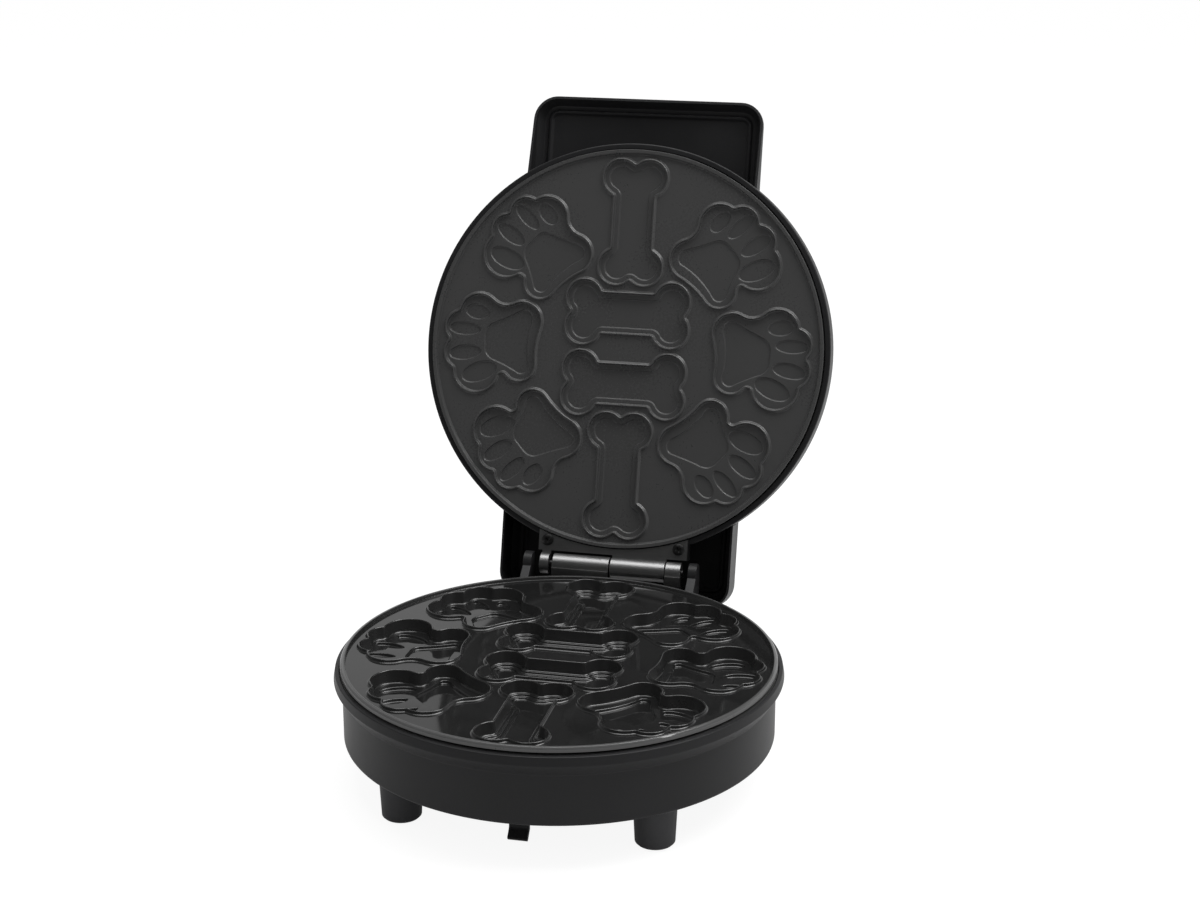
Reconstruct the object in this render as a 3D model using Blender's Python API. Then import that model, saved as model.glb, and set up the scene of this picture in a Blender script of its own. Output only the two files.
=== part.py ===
"""Dog treat maker: two round cast plates, each with four bone and six paw cavities, in a hinged case.

Lengths are metres. +Z is up, +X is to the cook's right and +Y runs back to the hinge. The lid stands open
on its stops. Base pieces are drawn in the base frame, whose origin is under the plate's centre at table
level. Lid pieces are drawn in the lid frame: its origin is the upper plate's centre on its rim plane, with
+Z up when the lid is shut.
"""

import math

import bmesh
import bpy
from mathutils import Matrix, Vector

# Plates

PLATE_RADIUS = 0.1010
RIM_WIDTH = 0.0016
RIM_RAMP = 0.0007
RIM_LIP = 0.0016
SKIRT_DEPTH = 0.0059
SLAB_CLEARANCE = 0.0005
LOWER_CAVITY_DEPTH = 0.0090
UPPER_CAVITY_DEPTH = 0.0010
LOWER_CAVITY_FLOOR = 0.0026
UPPER_CAVITY_FLOOR = 0.0046
BEAD_OUTSIDE = 0.0009
BEAD_HEIGHT = 0.0006
PAD_DEPTH = 0.0010
PAD_BASE_SHARE = 0.8
LOWER_POCKET_DEPTH = 0.0060
UPPER_POCKET_DEPTH = 0.0040
# Where the four screws go, across and along, as shares of the plate's radius
FIXING_SHARES = (0.2178, 0.3960)

# Treat cavities: a bone is four lobes on a shaft, a paw is a heel and four toes. They fill the land
# together, so their sizes and places are shares of its radius

BONE_LOBE_RADIUS_SHARE = 0.0932
BONE_LOBE_PLACE_SHARES = (0.0740, 0.2290)
BONE_SHAFT_HALF_SHARE = 0.1044
BONE_FILLET_SHARE = 0.0203
NEAR_BONE_SHARE = 0.1824
FAR_BONE_SHARE = 0.6505
PAW_LENGTH_SHARE = 0.5066
SIDE_PAW_SHARES = (0.7183, 0.0101)
CORNER_PAW_SHARE = 0.7295
CORNER_PAW_ANGLE = math.radians(45)

# The shares below are of a paw's length. The draft is how far a cavity's wall leans in from its bead
WALL_DRAFT_SHARE = 0.04

# Each row is centre along the paw, centre across it and radius; each fillet follows its row's circle
PAW_CIRCLE_SHARES = (
    (-0.30, -0.21, 0.168),
    (0.16, -0.284, 0.234),
    (0.33, -0.11, 0.172),
    (0.34, 0.15, 0.164),
    (0.17, 0.276, 0.206),
    (-0.31, 0.24, 0.20),
)
PAW_FILLET_SHARES = (0.06, 0.04, 0.04, 0.04, 0.20, 0.90)
HEEL_PAD_SHARES = ((-0.315, -0.225, 0.085), (-0.04, 0.085, 0.130), (-0.325, 0.275, 0.090))
HEEL_PAD_FILLET_SHARES = (1.20, 3.00, 0.90)
# Each row is centre along, centre across, half length and half width, from the longest toe round the paw
TOE_PAD_SHARES = (
    (0.117, -0.300, 0.180, 0.100),
    (0.262, -0.105, 0.150, 0.078),
    (0.285, 0.132, 0.145, 0.068),
    (0.172, 0.318, 0.126, 0.078),
)
# How far each toe is turned towards its own side of the paw
TOE_PAD_TURNS = (math.radians(-22), math.radians(-10), 0.0, math.radians(6))

# Base housing

FOOT_HEIGHT = 0.0213
WIRING_SPACE = 0.0030
SHOULDER_OVERHANG = 0.0013
HOUSING_WALL = 0.0025
HOUSING_EDGE = 0.0018
BEAD_RADIUS = 0.0039
UNDERBEAD_FILLET = 0.0020
RIM_PROUD = 0.0034
PLATE_CLEARANCE = 0.0005
VENT_LENGTH = 0.0240
VENT_WIDTH = 0.0032
VENT_PITCH = 0.0080
VENT_CENTRE_SHARE = 0.5589
POST_RADIUS = 0.0036

# Feet, cord hooks and cord inlet

# Where feet, hooks and inlet stand, as shares of the housing's radius
FRONT_FOOT_SHARES = (0.5788, 0.6218)
REAR_FOOT_SHARES = (0.4192, 0.7784)
HOOK_FACE_SHARE = 0.7625
INLET_SHARE = 0.4790
FOOT_BOTTOM_RADIUS = 0.0090
FOOT_TAPER = 0.0008
FOOT_ROOT_STEP = 0.0008
FOOT_ROOT_HEIGHT = 0.0026
FOOT_EDGE = 0.0010
PAD_INSET = 0.0012
PAD_HEIGHT = 0.0024
PAD_PROUD = 0.0006
HOOK_WIDTH = 0.0090
HOOK_THICKNESS = 0.0024
HOOK_BEND_HEIGHT = 0.0078
HOOK_TIP_RUN = 0.0036
HOOK_ROOT_WIDTH = 0.0150
HOOK_ROOT_DEPTH = 0.0110
HOOK_ROOT_HEIGHT = 0.0030
HOOK_GUSSET_WIDTH = 0.0030
HOOK_GUSSET_HEIGHT = 0.0100
INLET_BORE_RADIUS = 0.0036
INLET_WALL = 0.0014
INLET_FLANGE = 0.0022
INLET_FLANGE_HEIGHT = 0.0016
INLET_LENGTH = 0.0080

# Hinge

HINGE_CLEARANCE = 0.00156
HINGE_RISE = 0.00076
OPEN_ANGLE = math.radians(106.46)
PLATE_GAP = 0.0006
BARREL_RADIUS = 0.0054
PIN_RADIUS = 0.0019
PIN_CLEARANCE = 0.0004
KNUCKLE_GAP = 0.0005
LEAF_HALF = 0.0364
LEFT_KNUCKLE_WIDTH = 0.0046
LEFT_KNUCKLE_STEP = 0.0021
RIGHT_KNUCKLE_WIDTH = 0.0077
BASE_LEAF_THICKNESS = 0.0016
BASE_LEAF_RISE = 0.0070
BASE_LEAF_SCREW_RISE = 0.0080
BASE_LEAF_SCREW_INSET = 0.0104
BASE_SCREW_BITE = 0.0028
KNUCKLE_RUNNING_GAP = 0.0006
LID_LEAF_OVERHANG = 0.0021
LID_LEAF_THICKNESS = 0.0012
LID_LEAF_FACE = 0.0010
LID_LEAF_CLEARANCE = 0.0006
LID_SCREW_SIDE_INSET = 0.0045
LID_SCREW_BACK_INSET = 0.0053
LID_SCREW_BITE = 0.0040
PIN_PROUD = 0.0010
BLOCK_STEP = 0.0004
BLOCK_DROP = 0.0100
BLOCK_RISE = 0.0017
EAR_THICKNESS = 0.0040
EAR_SIDE_CLEARANCE = 0.0031
EAR_DEPTH = 0.0077
EAR_RADIUS = 0.0056
EAR_SHOULDER_DROP = 0.0060
STOP_HEIGHT = 0.0030

# Lid housing

LID_RIM_WIDTH = 0.0028
LID_EDGE_CHAMFER = 0.0008
LID_WALL = 0.0025
DOME_EDGE_RADIUS = 0.0130
DOME_HEADROOM = 0.0005
DOME_CROWN = 0.0018
LEDGE_THICKNESS = 0.0020
LEDGE_REACH = 0.0030
SHELF_HEIGHT = 0.0075

# Lid band: handle in front, strap over the dome, hood over the hinge

BAND_HALF = 0.0600
BAND_CLEARANCE = 0.0005
BAND_SKIN = 0.0026
BAND_WALL = 0.0026
BAND_ROUND = 0.0070
BAND_CORNER = 0.0120
HANDLE_REACH = 0.0252
HOOD_REACH = 0.01774
HOOD_RIM = 0.0080
HANDLE_DEPTH = 0.0130
HANDLE_RIM_STEP = 0.0007
HANDLE_RIM_SLOPE = 0.235
CLIP_INSET = 0.0120
CLIP_PLACE_SHARE = 0.3643
CLIP_WIDTH = 0.0080
CLIP_THICKNESS = 0.0016
CLIP_NOSE = 0.0012
CLIP_NOSE_HEIGHT = 0.0020
CLIP_SLOT_GAP = 0.0004
LENS_RADIUS = 0.0026
LENS_X = 0.0080
LENS_PLACE_SHARE = 0.7287
LENS_PROUD = 0.0003
LENS_FLANGE = 0.0012
LENS_FLANGE_HEIGHT = 0.0014
LENS_SEAT_DROP = 0.0004
LAMP_RADIUS = 0.0022
LAMP_LENGTH = 0.0070
LAMP_TIP_SHARE = 0.7

# Heaters and what hangs on them

HEATER_RING_SHARE = 0.6139
HEATER_TUBE_RADIUS = 0.0033
HEATER_OPENING = math.radians(24)
HEATER_LEAD = 0.0090
SHIELD_INSET = 0.0092
SHIELD_THICKNESS = 0.0008
SHIELD_LIP_RUN = 0.0020
SHIELD_POST_CLEARANCE = 0.0010
THERMOSTAT_RADIUS = 0.0078
THERMOSTAT_HEIGHT = 0.0060
THERMOSTAT_Y = 0.0220
THERMOSTAT_STRAP = 0.0240
THERMOSTAT_STRAP_WIDTH = 0.0060
THERMOSTAT_BLADE = 0.0030
THERMOSTAT_BLADE_WIDTH = 0.0048
FUSE_RADIUS = 0.0020
FUSE_LENGTH = 0.0130
FUSE_Y = -0.0300
TERMINAL_LENGTH = 0.0300
TERMINAL_WIDTH = 0.0120
TERMINAL_HEIGHT = 0.0085
TERMINAL_STEP = 0.0040
TERMINAL_Y = -0.0020

# Screws

SHANK_RADIUS = 0.0013
HEAD_RADIUS = 0.0032
HEAD_HEIGHT = 0.0018
LEAF_HEAD_RADIUS = 0.0030
LEAF_HEAD_HEIGHT = 0.0009
SCREW_BITE = 0.0080
SCREW_CLEARANCE = 0.0004

# Clearances and how finely round forms are divided

GAP = 0.0003
OVERRUN = 0.0040
WELD = 0.000002
ROUND_STEPS = 44
SHIELD_STEPS = 22
FOOT_STEPS = 10
BARREL_STEPS = 12
BEAD_TURN = math.radians(36)
PIN_STEPS = 8
POST_STEPS = 8
SCREW_STEPS = 6
TUBE_SIDES = 6
TOE_STEPS = 6
LOBE_TURN = math.radians(45)
FILLET_TURN = math.radians(70)
SHARP_ANGLE = math.radians(32)

# Sizes and places worked out from the ones above

RIM_INNER_RADIUS = PLATE_RADIUS - RIM_WIDTH
LAND_RADIUS = RIM_INNER_RADIUS - RIM_RAMP
SEAT_RADIUS = PLATE_RADIUS + PLATE_CLEARANCE
HOUSING_RADIUS = SEAT_RADIUS - SHOULDER_OVERHANG
HOUSING_INNER = HOUSING_RADIUS - HOUSING_WALL
SLAB_RADIUS = HOUSING_INNER - SLAB_CLEARANCE
LID_RADIUS = SEAT_RADIUS + LID_RIM_WIDTH
FLOOR_TOP = FOOT_HEIGHT + HOUSING_WALL
LOWER_BACK = RIM_LIP + LOWER_CAVITY_DEPTH + LOWER_CAVITY_FLOOR
UPPER_BACK = RIM_LIP + UPPER_CAVITY_DEPTH + UPPER_CAVITY_FLOOR

# The heater and its shield stack up behind each plate, which sets how tall the tub and the dome are
HEATER_STACK = 2 * HEATER_TUBE_RADIUS + SHIELD_THICKNESS + 3 * GAP
THERMOSTAT_STACK = HEATER_STACK + THERMOSTAT_HEIGHT + THERMOSTAT_BLADE
LOWER_BACK_HEIGHT = FLOOR_TOP + GAP + TERMINAL_HEIGHT + WIRING_SPACE + HEAD_HEIGHT + HEATER_STACK
RIM_HEIGHT = LOWER_BACK_HEIGHT + LOWER_BACK
SHOULDER_HEIGHT = RIM_HEIGHT - RIM_PROUD
DOME_EDGE_HEIGHT = UPPER_BACK + THERMOSTAT_STACK + DOME_HEADROOM + LID_WALL

BONE_LOBE_RADIUS = LAND_RADIUS * BONE_LOBE_RADIUS_SHARE
BONE_LOBE_X, BONE_LOBE_Y = (LAND_RADIUS * share for share in BONE_LOBE_PLACE_SHARES)
BONE_SHAFT_HALF = LAND_RADIUS * BONE_SHAFT_HALF_SHARE
BONE_FILLET = LAND_RADIUS * BONE_FILLET_SHARE
NEAR_BONE_Y = LAND_RADIUS * NEAR_BONE_SHARE
FAR_BONE_Y = LAND_RADIUS * FAR_BONE_SHARE
PAW_LENGTH = LAND_RADIUS * PAW_LENGTH_SHARE
WALL_DRAFT = PAW_LENGTH * WALL_DRAFT_SHARE
SIDE_PAW_X, SIDE_PAW_Y = (LAND_RADIUS * share for share in SIDE_PAW_SHARES)
CORNER_PAW_RADIUS = LAND_RADIUS * CORNER_PAW_SHARE
FIXING_X, FIXING_Y = (PLATE_RADIUS * share for share in FIXING_SHARES)
HEATER_RING_RADIUS = PLATE_RADIUS * HEATER_RING_SHARE
SHIELD_RADIUS = SLAB_RADIUS - SHIELD_INSET
SHIELD_POST_HOLE = POST_RADIUS + SHIELD_POST_CLEARANCE
SCREW_HOLE = SHANK_RADIUS + SCREW_CLEARANCE

VENT_CENTRE_X = HOUSING_RADIUS * VENT_CENTRE_SHARE
FRONT_FOOT_X, FRONT_FOOT_Y = (HOUSING_RADIUS * share for share in FRONT_FOOT_SHARES)
REAR_FOOT_X, REAR_FOOT_Y = (HOUSING_RADIUS * share for share in REAR_FOOT_SHARES)
HOOK_FACE_Y = HOUSING_RADIUS * HOOK_FACE_SHARE
INLET_Y = HOUSING_RADIUS * INLET_SHARE
FOOT_TOP_RADIUS = FOOT_BOTTOM_RADIUS + FOOT_TAPER
FOOT_ROOT_RADIUS = FOOT_TOP_RADIUS + FOOT_ROOT_STEP
PAD_RADIUS = FOOT_BOTTOM_RADIUS - FOOT_EDGE - PAD_INSET

HINGE_BACK = LID_RADIUS + HINGE_CLEARANCE + BARREL_RADIUS
HINGE_HEIGHT = RIM_HEIGHT + HINGE_RISE
BORE_RADIUS = PIN_RADIUS + PIN_CLEARANCE
SHORT_KNUCKLE_LEFT = LEAF_HALF - LEFT_KNUCKLE_WIDTH
LONG_KNUCKLE_LEFT = SHORT_KNUCKLE_LEFT - LEFT_KNUCKLE_STEP
LONG_KNUCKLE_RIGHT = LEAF_HALF - RIGHT_KNUCKLE_WIDTH - KNUCKLE_GAP
BLOCK_BACK_Y = LID_RADIUS + BLOCK_STEP
BLOCK_BOTTOM = FOOT_HEIGHT + BLOCK_RISE
BLOCK_TOP = SHOULDER_HEIGHT - BLOCK_DROP
BLOCK_HALF = LEAF_HALF + PIN_PROUD + EAR_SIDE_CLEARANCE + EAR_THICKNESS
EAR_FRONT_Y = BLOCK_BACK_Y - EAR_DEPTH
BASE_LEAF_BOTTOM = BLOCK_BOTTOM + BASE_LEAF_RISE
BASE_LEAF_SCREW_HEIGHT = BASE_LEAF_BOTTOM + BASE_LEAF_SCREW_RISE
BASE_LEAF_SCREW_X = LEAF_HALF - BASE_LEAF_SCREW_INSET
LID_LEAF_HALF = LEAF_HALF + LID_LEAF_OVERHANG
LID_LEAF_FRONT_RADIUS = PLATE_RADIUS + LID_LEAF_CLEARANCE
LID_LEAF_BACK_Y = BLOCK_BACK_Y
LID_SCREW_X = LID_LEAF_HALF - LID_SCREW_SIDE_INSET
LID_SCREW_Y = LID_LEAF_BACK_Y - LID_SCREW_BACK_INSET
LID_EDGE_HEIGHT = LID_LEAF_FACE + LID_LEAF_THICKNESS + GAP

BAND_TOP = DOME_EDGE_HEIGHT + DOME_CROWN + BAND_CLEARANCE + BAND_SKIN
HANDLE_TIP = LID_RADIUS + HANDLE_REACH
HANDLE_RIM = BAND_TOP - HANDLE_DEPTH
HANDLE_RIM_Y = LID_RADIUS + HANDLE_RIM_STEP
HOOD_END = HINGE_BACK + HOOD_REACH
CLIP_X = BAND_HALF - CLIP_INSET
CLIP_Y = LID_RADIUS * CLIP_PLACE_SHARE
LENS_Y = LID_RADIUS * LENS_PLACE_SHARE
LID_SHIFT = Vector((0, -HINGE_BACK, PLATE_GAP - HINGE_RISE))


def open_point(y, z):
    """Base-frame y and z of a lid-frame point, with the lid fully open."""
    point = Matrix.Rotation(-OPEN_ANGLE, 4, "X") @ (Vector((0, y, z)) + LID_SHIFT)
    return point.y + HINGE_BACK, point.z + HINGE_HEIGHT


BAND_CORNER_BACK = open_point(BAND_ROUND - HANDLE_TIP, BAND_TOP - BAND_ROUND)[0] + BAND_ROUND
BASE_AXIS_Y = -(BAND_CORNER_BACK - HOUSING_RADIUS - BEAD_RADIUS) / 2


def material(name, color, roughness, metallic=0.0):
    made = bpy.data.materials.new(name)
    made.use_nodes = True
    shader = made.node_tree.nodes["Principled BSDF"]
    shader.inputs["Base Color"].default_value = (*color, 1.0)
    shader.inputs["Roughness"].default_value = roughness
    shader.inputs["Metallic"].default_value = metallic
    return made


# Flat outlines


def arc_points(centre, radius, start, end, turn):
    """Points along an arc, both ends included."""
    steps = max(1, math.ceil(abs(end - start) / turn - 1e-9))
    angles = [start + (end - start) * i / steps for i in range(steps + 1)]
    return [(centre[0] + radius * math.cos(a), centre[1] + radius * math.sin(a)) for a in angles]


def rounded_rectangle(x_low, x_high, y_low, y_high, radius, turn=math.pi / 6):
    corners = (
        (x_high - radius, y_low + radius, -math.pi / 2),
        (x_high - radius, y_high - radius, 0),
        (x_low + radius, y_high - radius, math.pi / 2),
        (x_low + radius, y_low + radius, math.pi),
    )
    points = []
    for x, y, start in corners:
        for point in arc_points((x, y), radius, start, start + math.pi / 2, turn):
            if not points or math.dist(point, points[-1]) > WELD:
                points.append(point)
    return points if math.dist(points[0], points[-1]) > WELD else points[:-1]


def circle(centre, radius, steps):
    turn = 2 * math.pi / steps
    return arc_points(centre, radius, 0, 2 * math.pi - turn, turn)


def chain_arcs(circles, fillets):
    """Arcs round a closed anticlockwise chain of circles, joined by hollow fillets."""
    hollows = []
    for i, (x1, y1, r1) in enumerate(circles):
        x2, y2, r2 = circles[(i + 1) % len(circles)]
        reach1, reach2 = r1 + fillets[i], r2 + fillets[i]
        along = Vector((x2 - x1, y2 - y1))
        span = along.length
        along.normalize()
        run = (reach1**2 - reach2**2 + span**2) / (2 * span)
        rise = math.sqrt(reach1**2 - run**2)
        centre = Vector((x1, y1)) + along * run + Vector((along.y, -along.x)) * rise
        hollows.append((centre, fillets[i]))
    arcs = []
    for i, (x, y, radius) in enumerate(circles):
        before, after = hollows[i - 1][0], hollows[i][0]
        start = math.atan2(before.y - y, before.x - x)
        end = math.atan2(after.y - y, after.x - x)
        arcs.append(((x, y), radius, start, end + (2 * math.pi if end < start else 0)))
        x2, y2, _ = circles[(i + 1) % len(circles)]
        start = math.atan2(y - after.y, x - after.x)
        end = math.atan2(y2 - after.y, x2 - after.x)
        arcs.append(((after.x, after.y), hollows[i][1], start, end - (2 * math.pi if end > start else 0)))
    return arcs


def bone_arcs():
    """Half a bone's arcs from its right flank to its left one, and the same half turned round."""
    corner_x = BONE_SHAFT_HALF + BONE_FILLET
    reach = BONE_LOBE_RADIUS + BONE_FILLET
    corner_y = BONE_LOBE_Y - math.sqrt(reach**2 - (corner_x - BONE_LOBE_X) ** 2)
    notch_y = BONE_LOBE_Y + math.sqrt(reach**2 - BONE_LOBE_X**2)
    flank = math.atan2(BONE_LOBE_Y - corner_y, BONE_LOBE_X - corner_x)
    notch = math.atan2(notch_y - BONE_LOBE_Y, BONE_LOBE_X)
    half = [
        ((corner_x, corner_y), BONE_FILLET, math.pi, flank),
        ((BONE_LOBE_X, BONE_LOBE_Y), BONE_LOBE_RADIUS, flank - math.pi, math.pi - notch),
        ((0, notch_y), BONE_FILLET, -notch, notch - math.pi),
        ((-BONE_LOBE_X, BONE_LOBE_Y), BONE_LOBE_RADIUS, notch, 2 * math.pi - flank),
        ((-corner_x, corner_y), BONE_FILLET, math.pi - flank, 0),
    ]
    turned = [((-x, -y), radius, start + math.pi, end + math.pi) for (x, y), radius, start, end in half]
    return half + turned


def paw_sizes(shares):
    return [tuple(PAW_LENGTH * share for share in row) for row in shares]


def paw_arcs():
    return chain_arcs(paw_sizes(PAW_CIRCLE_SHARES), paw_sizes((PAW_FILLET_SHARES,))[0])


def heel_arcs():
    return chain_arcs(paw_sizes(HEEL_PAD_SHARES), paw_sizes((HEEL_PAD_FILLET_SHARES,))[0])


def toe_outline(x, y, half_length, half_width, turn):
    """An oval, turned about its middle."""
    spin = Matrix.Rotation(turn, 2)
    oval = [Vector((px * half_length, py * half_width)) for px, py in circle((0, 0), 1, TOE_STEPS)]
    return [tuple(Vector((x, y)) + spin @ point) for point in oval]


def outline_with_normals(arcs):
    """Points of a closed outline of tangent arcs, each with its outward normal."""
    points = []
    for centre, radius, start, end in arcs:
        outward = 1 if end > start else -1
        turn = LOBE_TURN if outward > 0 else FILLET_TURN
        for x, y in arc_points(centre, radius, start, end, turn):
            normal = Vector((x - centre[0], y - centre[1])) * (outward / radius)
            if not points or (Vector((x, y)) - points[-1][0]).length > GAP:
                points.append((Vector((x, y)), normal))
    if (points[0][0] - points[-1][0]).length < GAP:
        points.pop()
    return points


def cavity_places():
    """Where each cavity lies: its kind and the 2D map from its own axes to the plate's."""
    places = []
    for sign in (-1, 1):
        places.append(("bone", Vector((0, sign * NEAR_BONE_Y)), Vector((0, 1)), Vector((1, 0))))
        places.append(("bone", Vector((0, sign * FAR_BONE_Y)), Vector((1, 0)), Vector((0, 1))))
    for side in (-1, 1):
        places.append(("paw", Vector((side * SIDE_PAW_X, SIDE_PAW_Y)), Vector((side, 0)), Vector((0, -1))))
        for end in (-1, 1):
            cos, sin = math.cos(CORNER_PAW_ANGLE), math.sin(CORNER_PAW_ANGLE)
            along = Vector((side * cos, end * sin))
            across = Vector((-side * sin, end * cos))
            places.append(("paw", along * CORNER_PAW_RADIUS, along, across))
    return places


# Solids


def add_ring(bm, points, z):
    return [bm.verts.new((p[0], p[1], z)) for p in points]


def ring_edges(bm, ring):
    """The edges round a ring of vertices, made where they are missing."""
    pairs = zip(ring, ring[1:] + ring[:1])
    return [bm.edges.get(pair) or bm.edges.new(pair) for pair in pairs]


def bridge(bm, first, second):
    """A band of faces between two rings, of as many vertices or with one pole."""
    count = max(len(first), len(second))
    for i in range(count):
        j = (i + 1) % count
        if len(first) == 1:
            bm.faces.new((first[0], second[i], second[j]))
        elif len(second) == 1:
            bm.faces.new((first[j], first[i], second[0]))
        else:
            bm.faces.new((first[i], second[i], second[j], first[j]))


def revolve(profile, steps=ROUND_STEPS):
    """A solid turned about Z from (radius, height) points, closed on itself or on the axis."""
    bm = bmesh.new()
    on_axis = profile[0][0] == 0
    # A flat end is one face, so its point on the axis isn't needed
    flat_first = on_axis and profile[0][1] == profile[1][1]
    flat_last = on_axis and profile[-1][1] == profile[-2][1]
    rings = []
    for radius, height in profile[flat_first : len(profile) - flat_last]:
        points = circle((0, 0), radius, steps) if radius else [(0, 0)]
        rings.append(add_ring(bm, points, height))
    for first, second in zip(rings, rings[1:]):
        bridge(bm, first, second)
    if flat_first:
        bm.faces.new(rings[0])
    if flat_last:
        bm.faces.new(rings[-1])
    if not on_axis:
        bridge(bm, rings[-1], rings[0])
    return bm


def loft(sections):
    """A solid through (outline, height) sections of as many points, with flat ends."""
    bm = bmesh.new()
    rings = [add_ring(bm, outline, height) for outline, height in sections]
    for first, second in zip(rings, rings[1:]):
        bridge(bm, first, second)
    bm.faces.new(rings[0][::-1])
    bm.faces.new(rings[-1])
    return bm


def prism(outline, low, high):
    return loft(((outline, low), (outline, high)))


def prism_x(outline, low, high):
    """A solid of one (y, z) section, pulled along X."""
    bm = prism(outline, low, high)
    turn_to_x(bm)
    return bm


def box(x, y, z):
    outline = ((x[0], y[0]), (x[1], y[0]), (x[1], y[1]), (x[0], y[1]))
    return prism(outline, z[0], z[1])


def turn_to_x(bm):
    """Carries the Z axis to X, X to Y and Y to Z."""
    turn = Matrix(((0, 0, 1, 0), (1, 0, 0, 0), (0, 1, 0, 0), (0, 0, 0, 1)))
    bm.transform(turn)


def moved(bm, x, y, z):
    bm.transform(Matrix.Translation((x, y, z)))
    return bm


def upside_down(bm):
    bm.transform(Matrix.Rotation(math.pi, 4, "X"))
    return bm


def hinge_cylinder(radius, x_low, x_high, centre, steps):
    bm = prism(circle((0, 0), radius, steps), x_low, x_high)
    turn_to_x(bm)
    return moved(bm, 0, *centre)


def loose_object(bm):
    bmesh.ops.recalc_face_normals(bm, faces=bm.faces)
    # On a thin shell the normals agree with each other, but may all point inward
    if bm.calc_volume(signed=True) < 0:
        bmesh.ops.reverse_faces(bm, faces=bm.faces)
    mesh = bpy.data.meshes.new("working")
    bm.to_mesh(mesh)
    bm.free()
    made = bpy.data.objects.new("working", mesh)
    bpy.context.scene.collection.objects.link(made)
    return made


def combine(bm, tools, operation):
    """The solid after each tool is joined to it or cut from it."""
    target = loose_object(bm)
    helpers = [loose_object(tool) for tool in tools]
    for helper in helpers:
        modifier = target.modifiers.new("combine", "BOOLEAN")
        modifier.operation = operation
        modifier.solver = "EXACT"
        modifier.object = helper
    result = bmesh.new()
    result.from_object(target, bpy.context.evaluated_depsgraph_get())
    for helper in (target, *helpers):
        mesh = helper.data
        bpy.data.objects.remove(helper)
        bpy.data.meshes.remove(mesh)
    return result


def join(bm, *tools):
    return combine(bm, tools, "UNION")


def cut(bm, *tools):
    return combine(bm, tools, "DIFFERENCE")


def screw(length, head_radius=HEAD_RADIUS, head_height=HEAD_HEIGHT):
    """A screw that points down from the underside of its head at the origin."""
    profile = (
        (0, head_height),
        (head_radius, head_height / 2),
        (head_radius, 0),
        (SHANK_RADIUS, 0),
        (SHANK_RADIUS, -length),
        (0, -length),
    )
    return revolve(profile, SCREW_STEPS)


def place(bm, name, finish, body):
    """One named object of a body, with soft shading where its faces meet gently."""
    made = loose_object(bm)
    made.name = name
    mesh = made.data
    mesh.name = name
    mesh.materials.append(finish)
    mesh.shade_smooth()
    mesh.set_sharp_from_angle(angle=SHARP_ANGLE)
    made.parent = body
    if body.name == "lid_hinge_axis":
        made.location = LID_SHIFT
    return made


# Cast plates


def cavity(bm, place_row, depth, land):
    """One treat cavity's bands and floor; gives the ring where its bead meets the land."""
    kind, centre, along, across = place_row

    def on_plate(x, y):
        return centre + along * x + across * y

    arcs = bone_arcs() if kind == "bone" else paw_arcs()
    outline = outline_with_normals(arcs)
    floor = land - depth
    bands = (
        (BEAD_OUTSIDE, land),
        (0, land + BEAD_HEIGHT),
        (-WALL_DRAFT, floor),
    )
    rings = []
    for offset, height in bands:
        points = [on_plate(*(point + normal * offset)) for point, normal in outline]
        rings.append(add_ring(bm, points, height))
    for first, second in zip(rings, rings[1:]):
        bridge(bm, first, second)
    if kind == "bone":
        bm.faces.new(rings[-1])
        return rings[0]
    pads = [[point for point, _ in outline_with_normals(heel_arcs())]]
    pads += [toe_outline(*row, turn) for row, turn in zip(paw_sizes(TOE_PAD_SHARES), TOE_PAD_TURNS)]
    edges = ring_edges(bm, rings[-1])
    for pad in pads:
        rim = add_ring(bm, [on_plate(*point) for point in pad], floor)
        middle = on_plate(*(sum((Vector(point) for point in pad), Vector((0, 0))) / len(pad)))
        narrowed = [middle.lerp(on_plate(*point), PAD_BASE_SHARE) for point in pad]
        base = add_ring(bm, narrowed, floor - PAD_DEPTH)
        bridge(bm, rim, base)
        bm.faces.new(base)
        edges += ring_edges(bm, rim)
    bmesh.ops.triangle_fill(bm, use_beauty=True, edges=edges)
    return rings[0]


def plate(depth, back, pocket_depth):
    """A cast plate with its cooking face up and its rim plane at zero."""
    bm = bmesh.new()
    profile = (
        (LAND_RADIUS, -RIM_LIP),
        (RIM_INNER_RADIUS, 0),
        (PLATE_RADIUS, 0),
        (PLATE_RADIUS, -SKIRT_DEPTH),
        (SLAB_RADIUS, -SKIRT_DEPTH),
        (SLAB_RADIUS, -back),
    )
    rings = [add_ring(bm, circle((0, 0), radius, ROUND_STEPS), height) for radius, height in profile]
    for first, second in zip(rings, rings[1:]):
        bridge(bm, first, second)
    edges = ring_edges(bm, rings[0])
    for place_row in cavity_places():
        edges += ring_edges(bm, cavity(bm, place_row, depth, -RIM_LIP))
    bmesh.ops.triangle_fill(bm, use_beauty=True, edges=edges)
    edges = ring_edges(bm, rings[-1])
    for x, y in [(0, 0), *fixing_places()]:
        mouth = add_ring(bm, circle((x, y), SCREW_HOLE, SCREW_STEPS), -back)
        end = add_ring(bm, circle((x, y), SCREW_HOLE, SCREW_STEPS), -back + pocket_depth)
        bridge(bm, mouth, end)
        bm.faces.new(end)
        edges += ring_edges(bm, mouth)
    bmesh.ops.triangle_fill(bm, use_beauty=True, edges=edges)
    return bm


def fixing_places():
    return [(x, y) for x in (-FIXING_X, FIXING_X) for y in (-FIXING_Y, FIXING_Y)]


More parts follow.
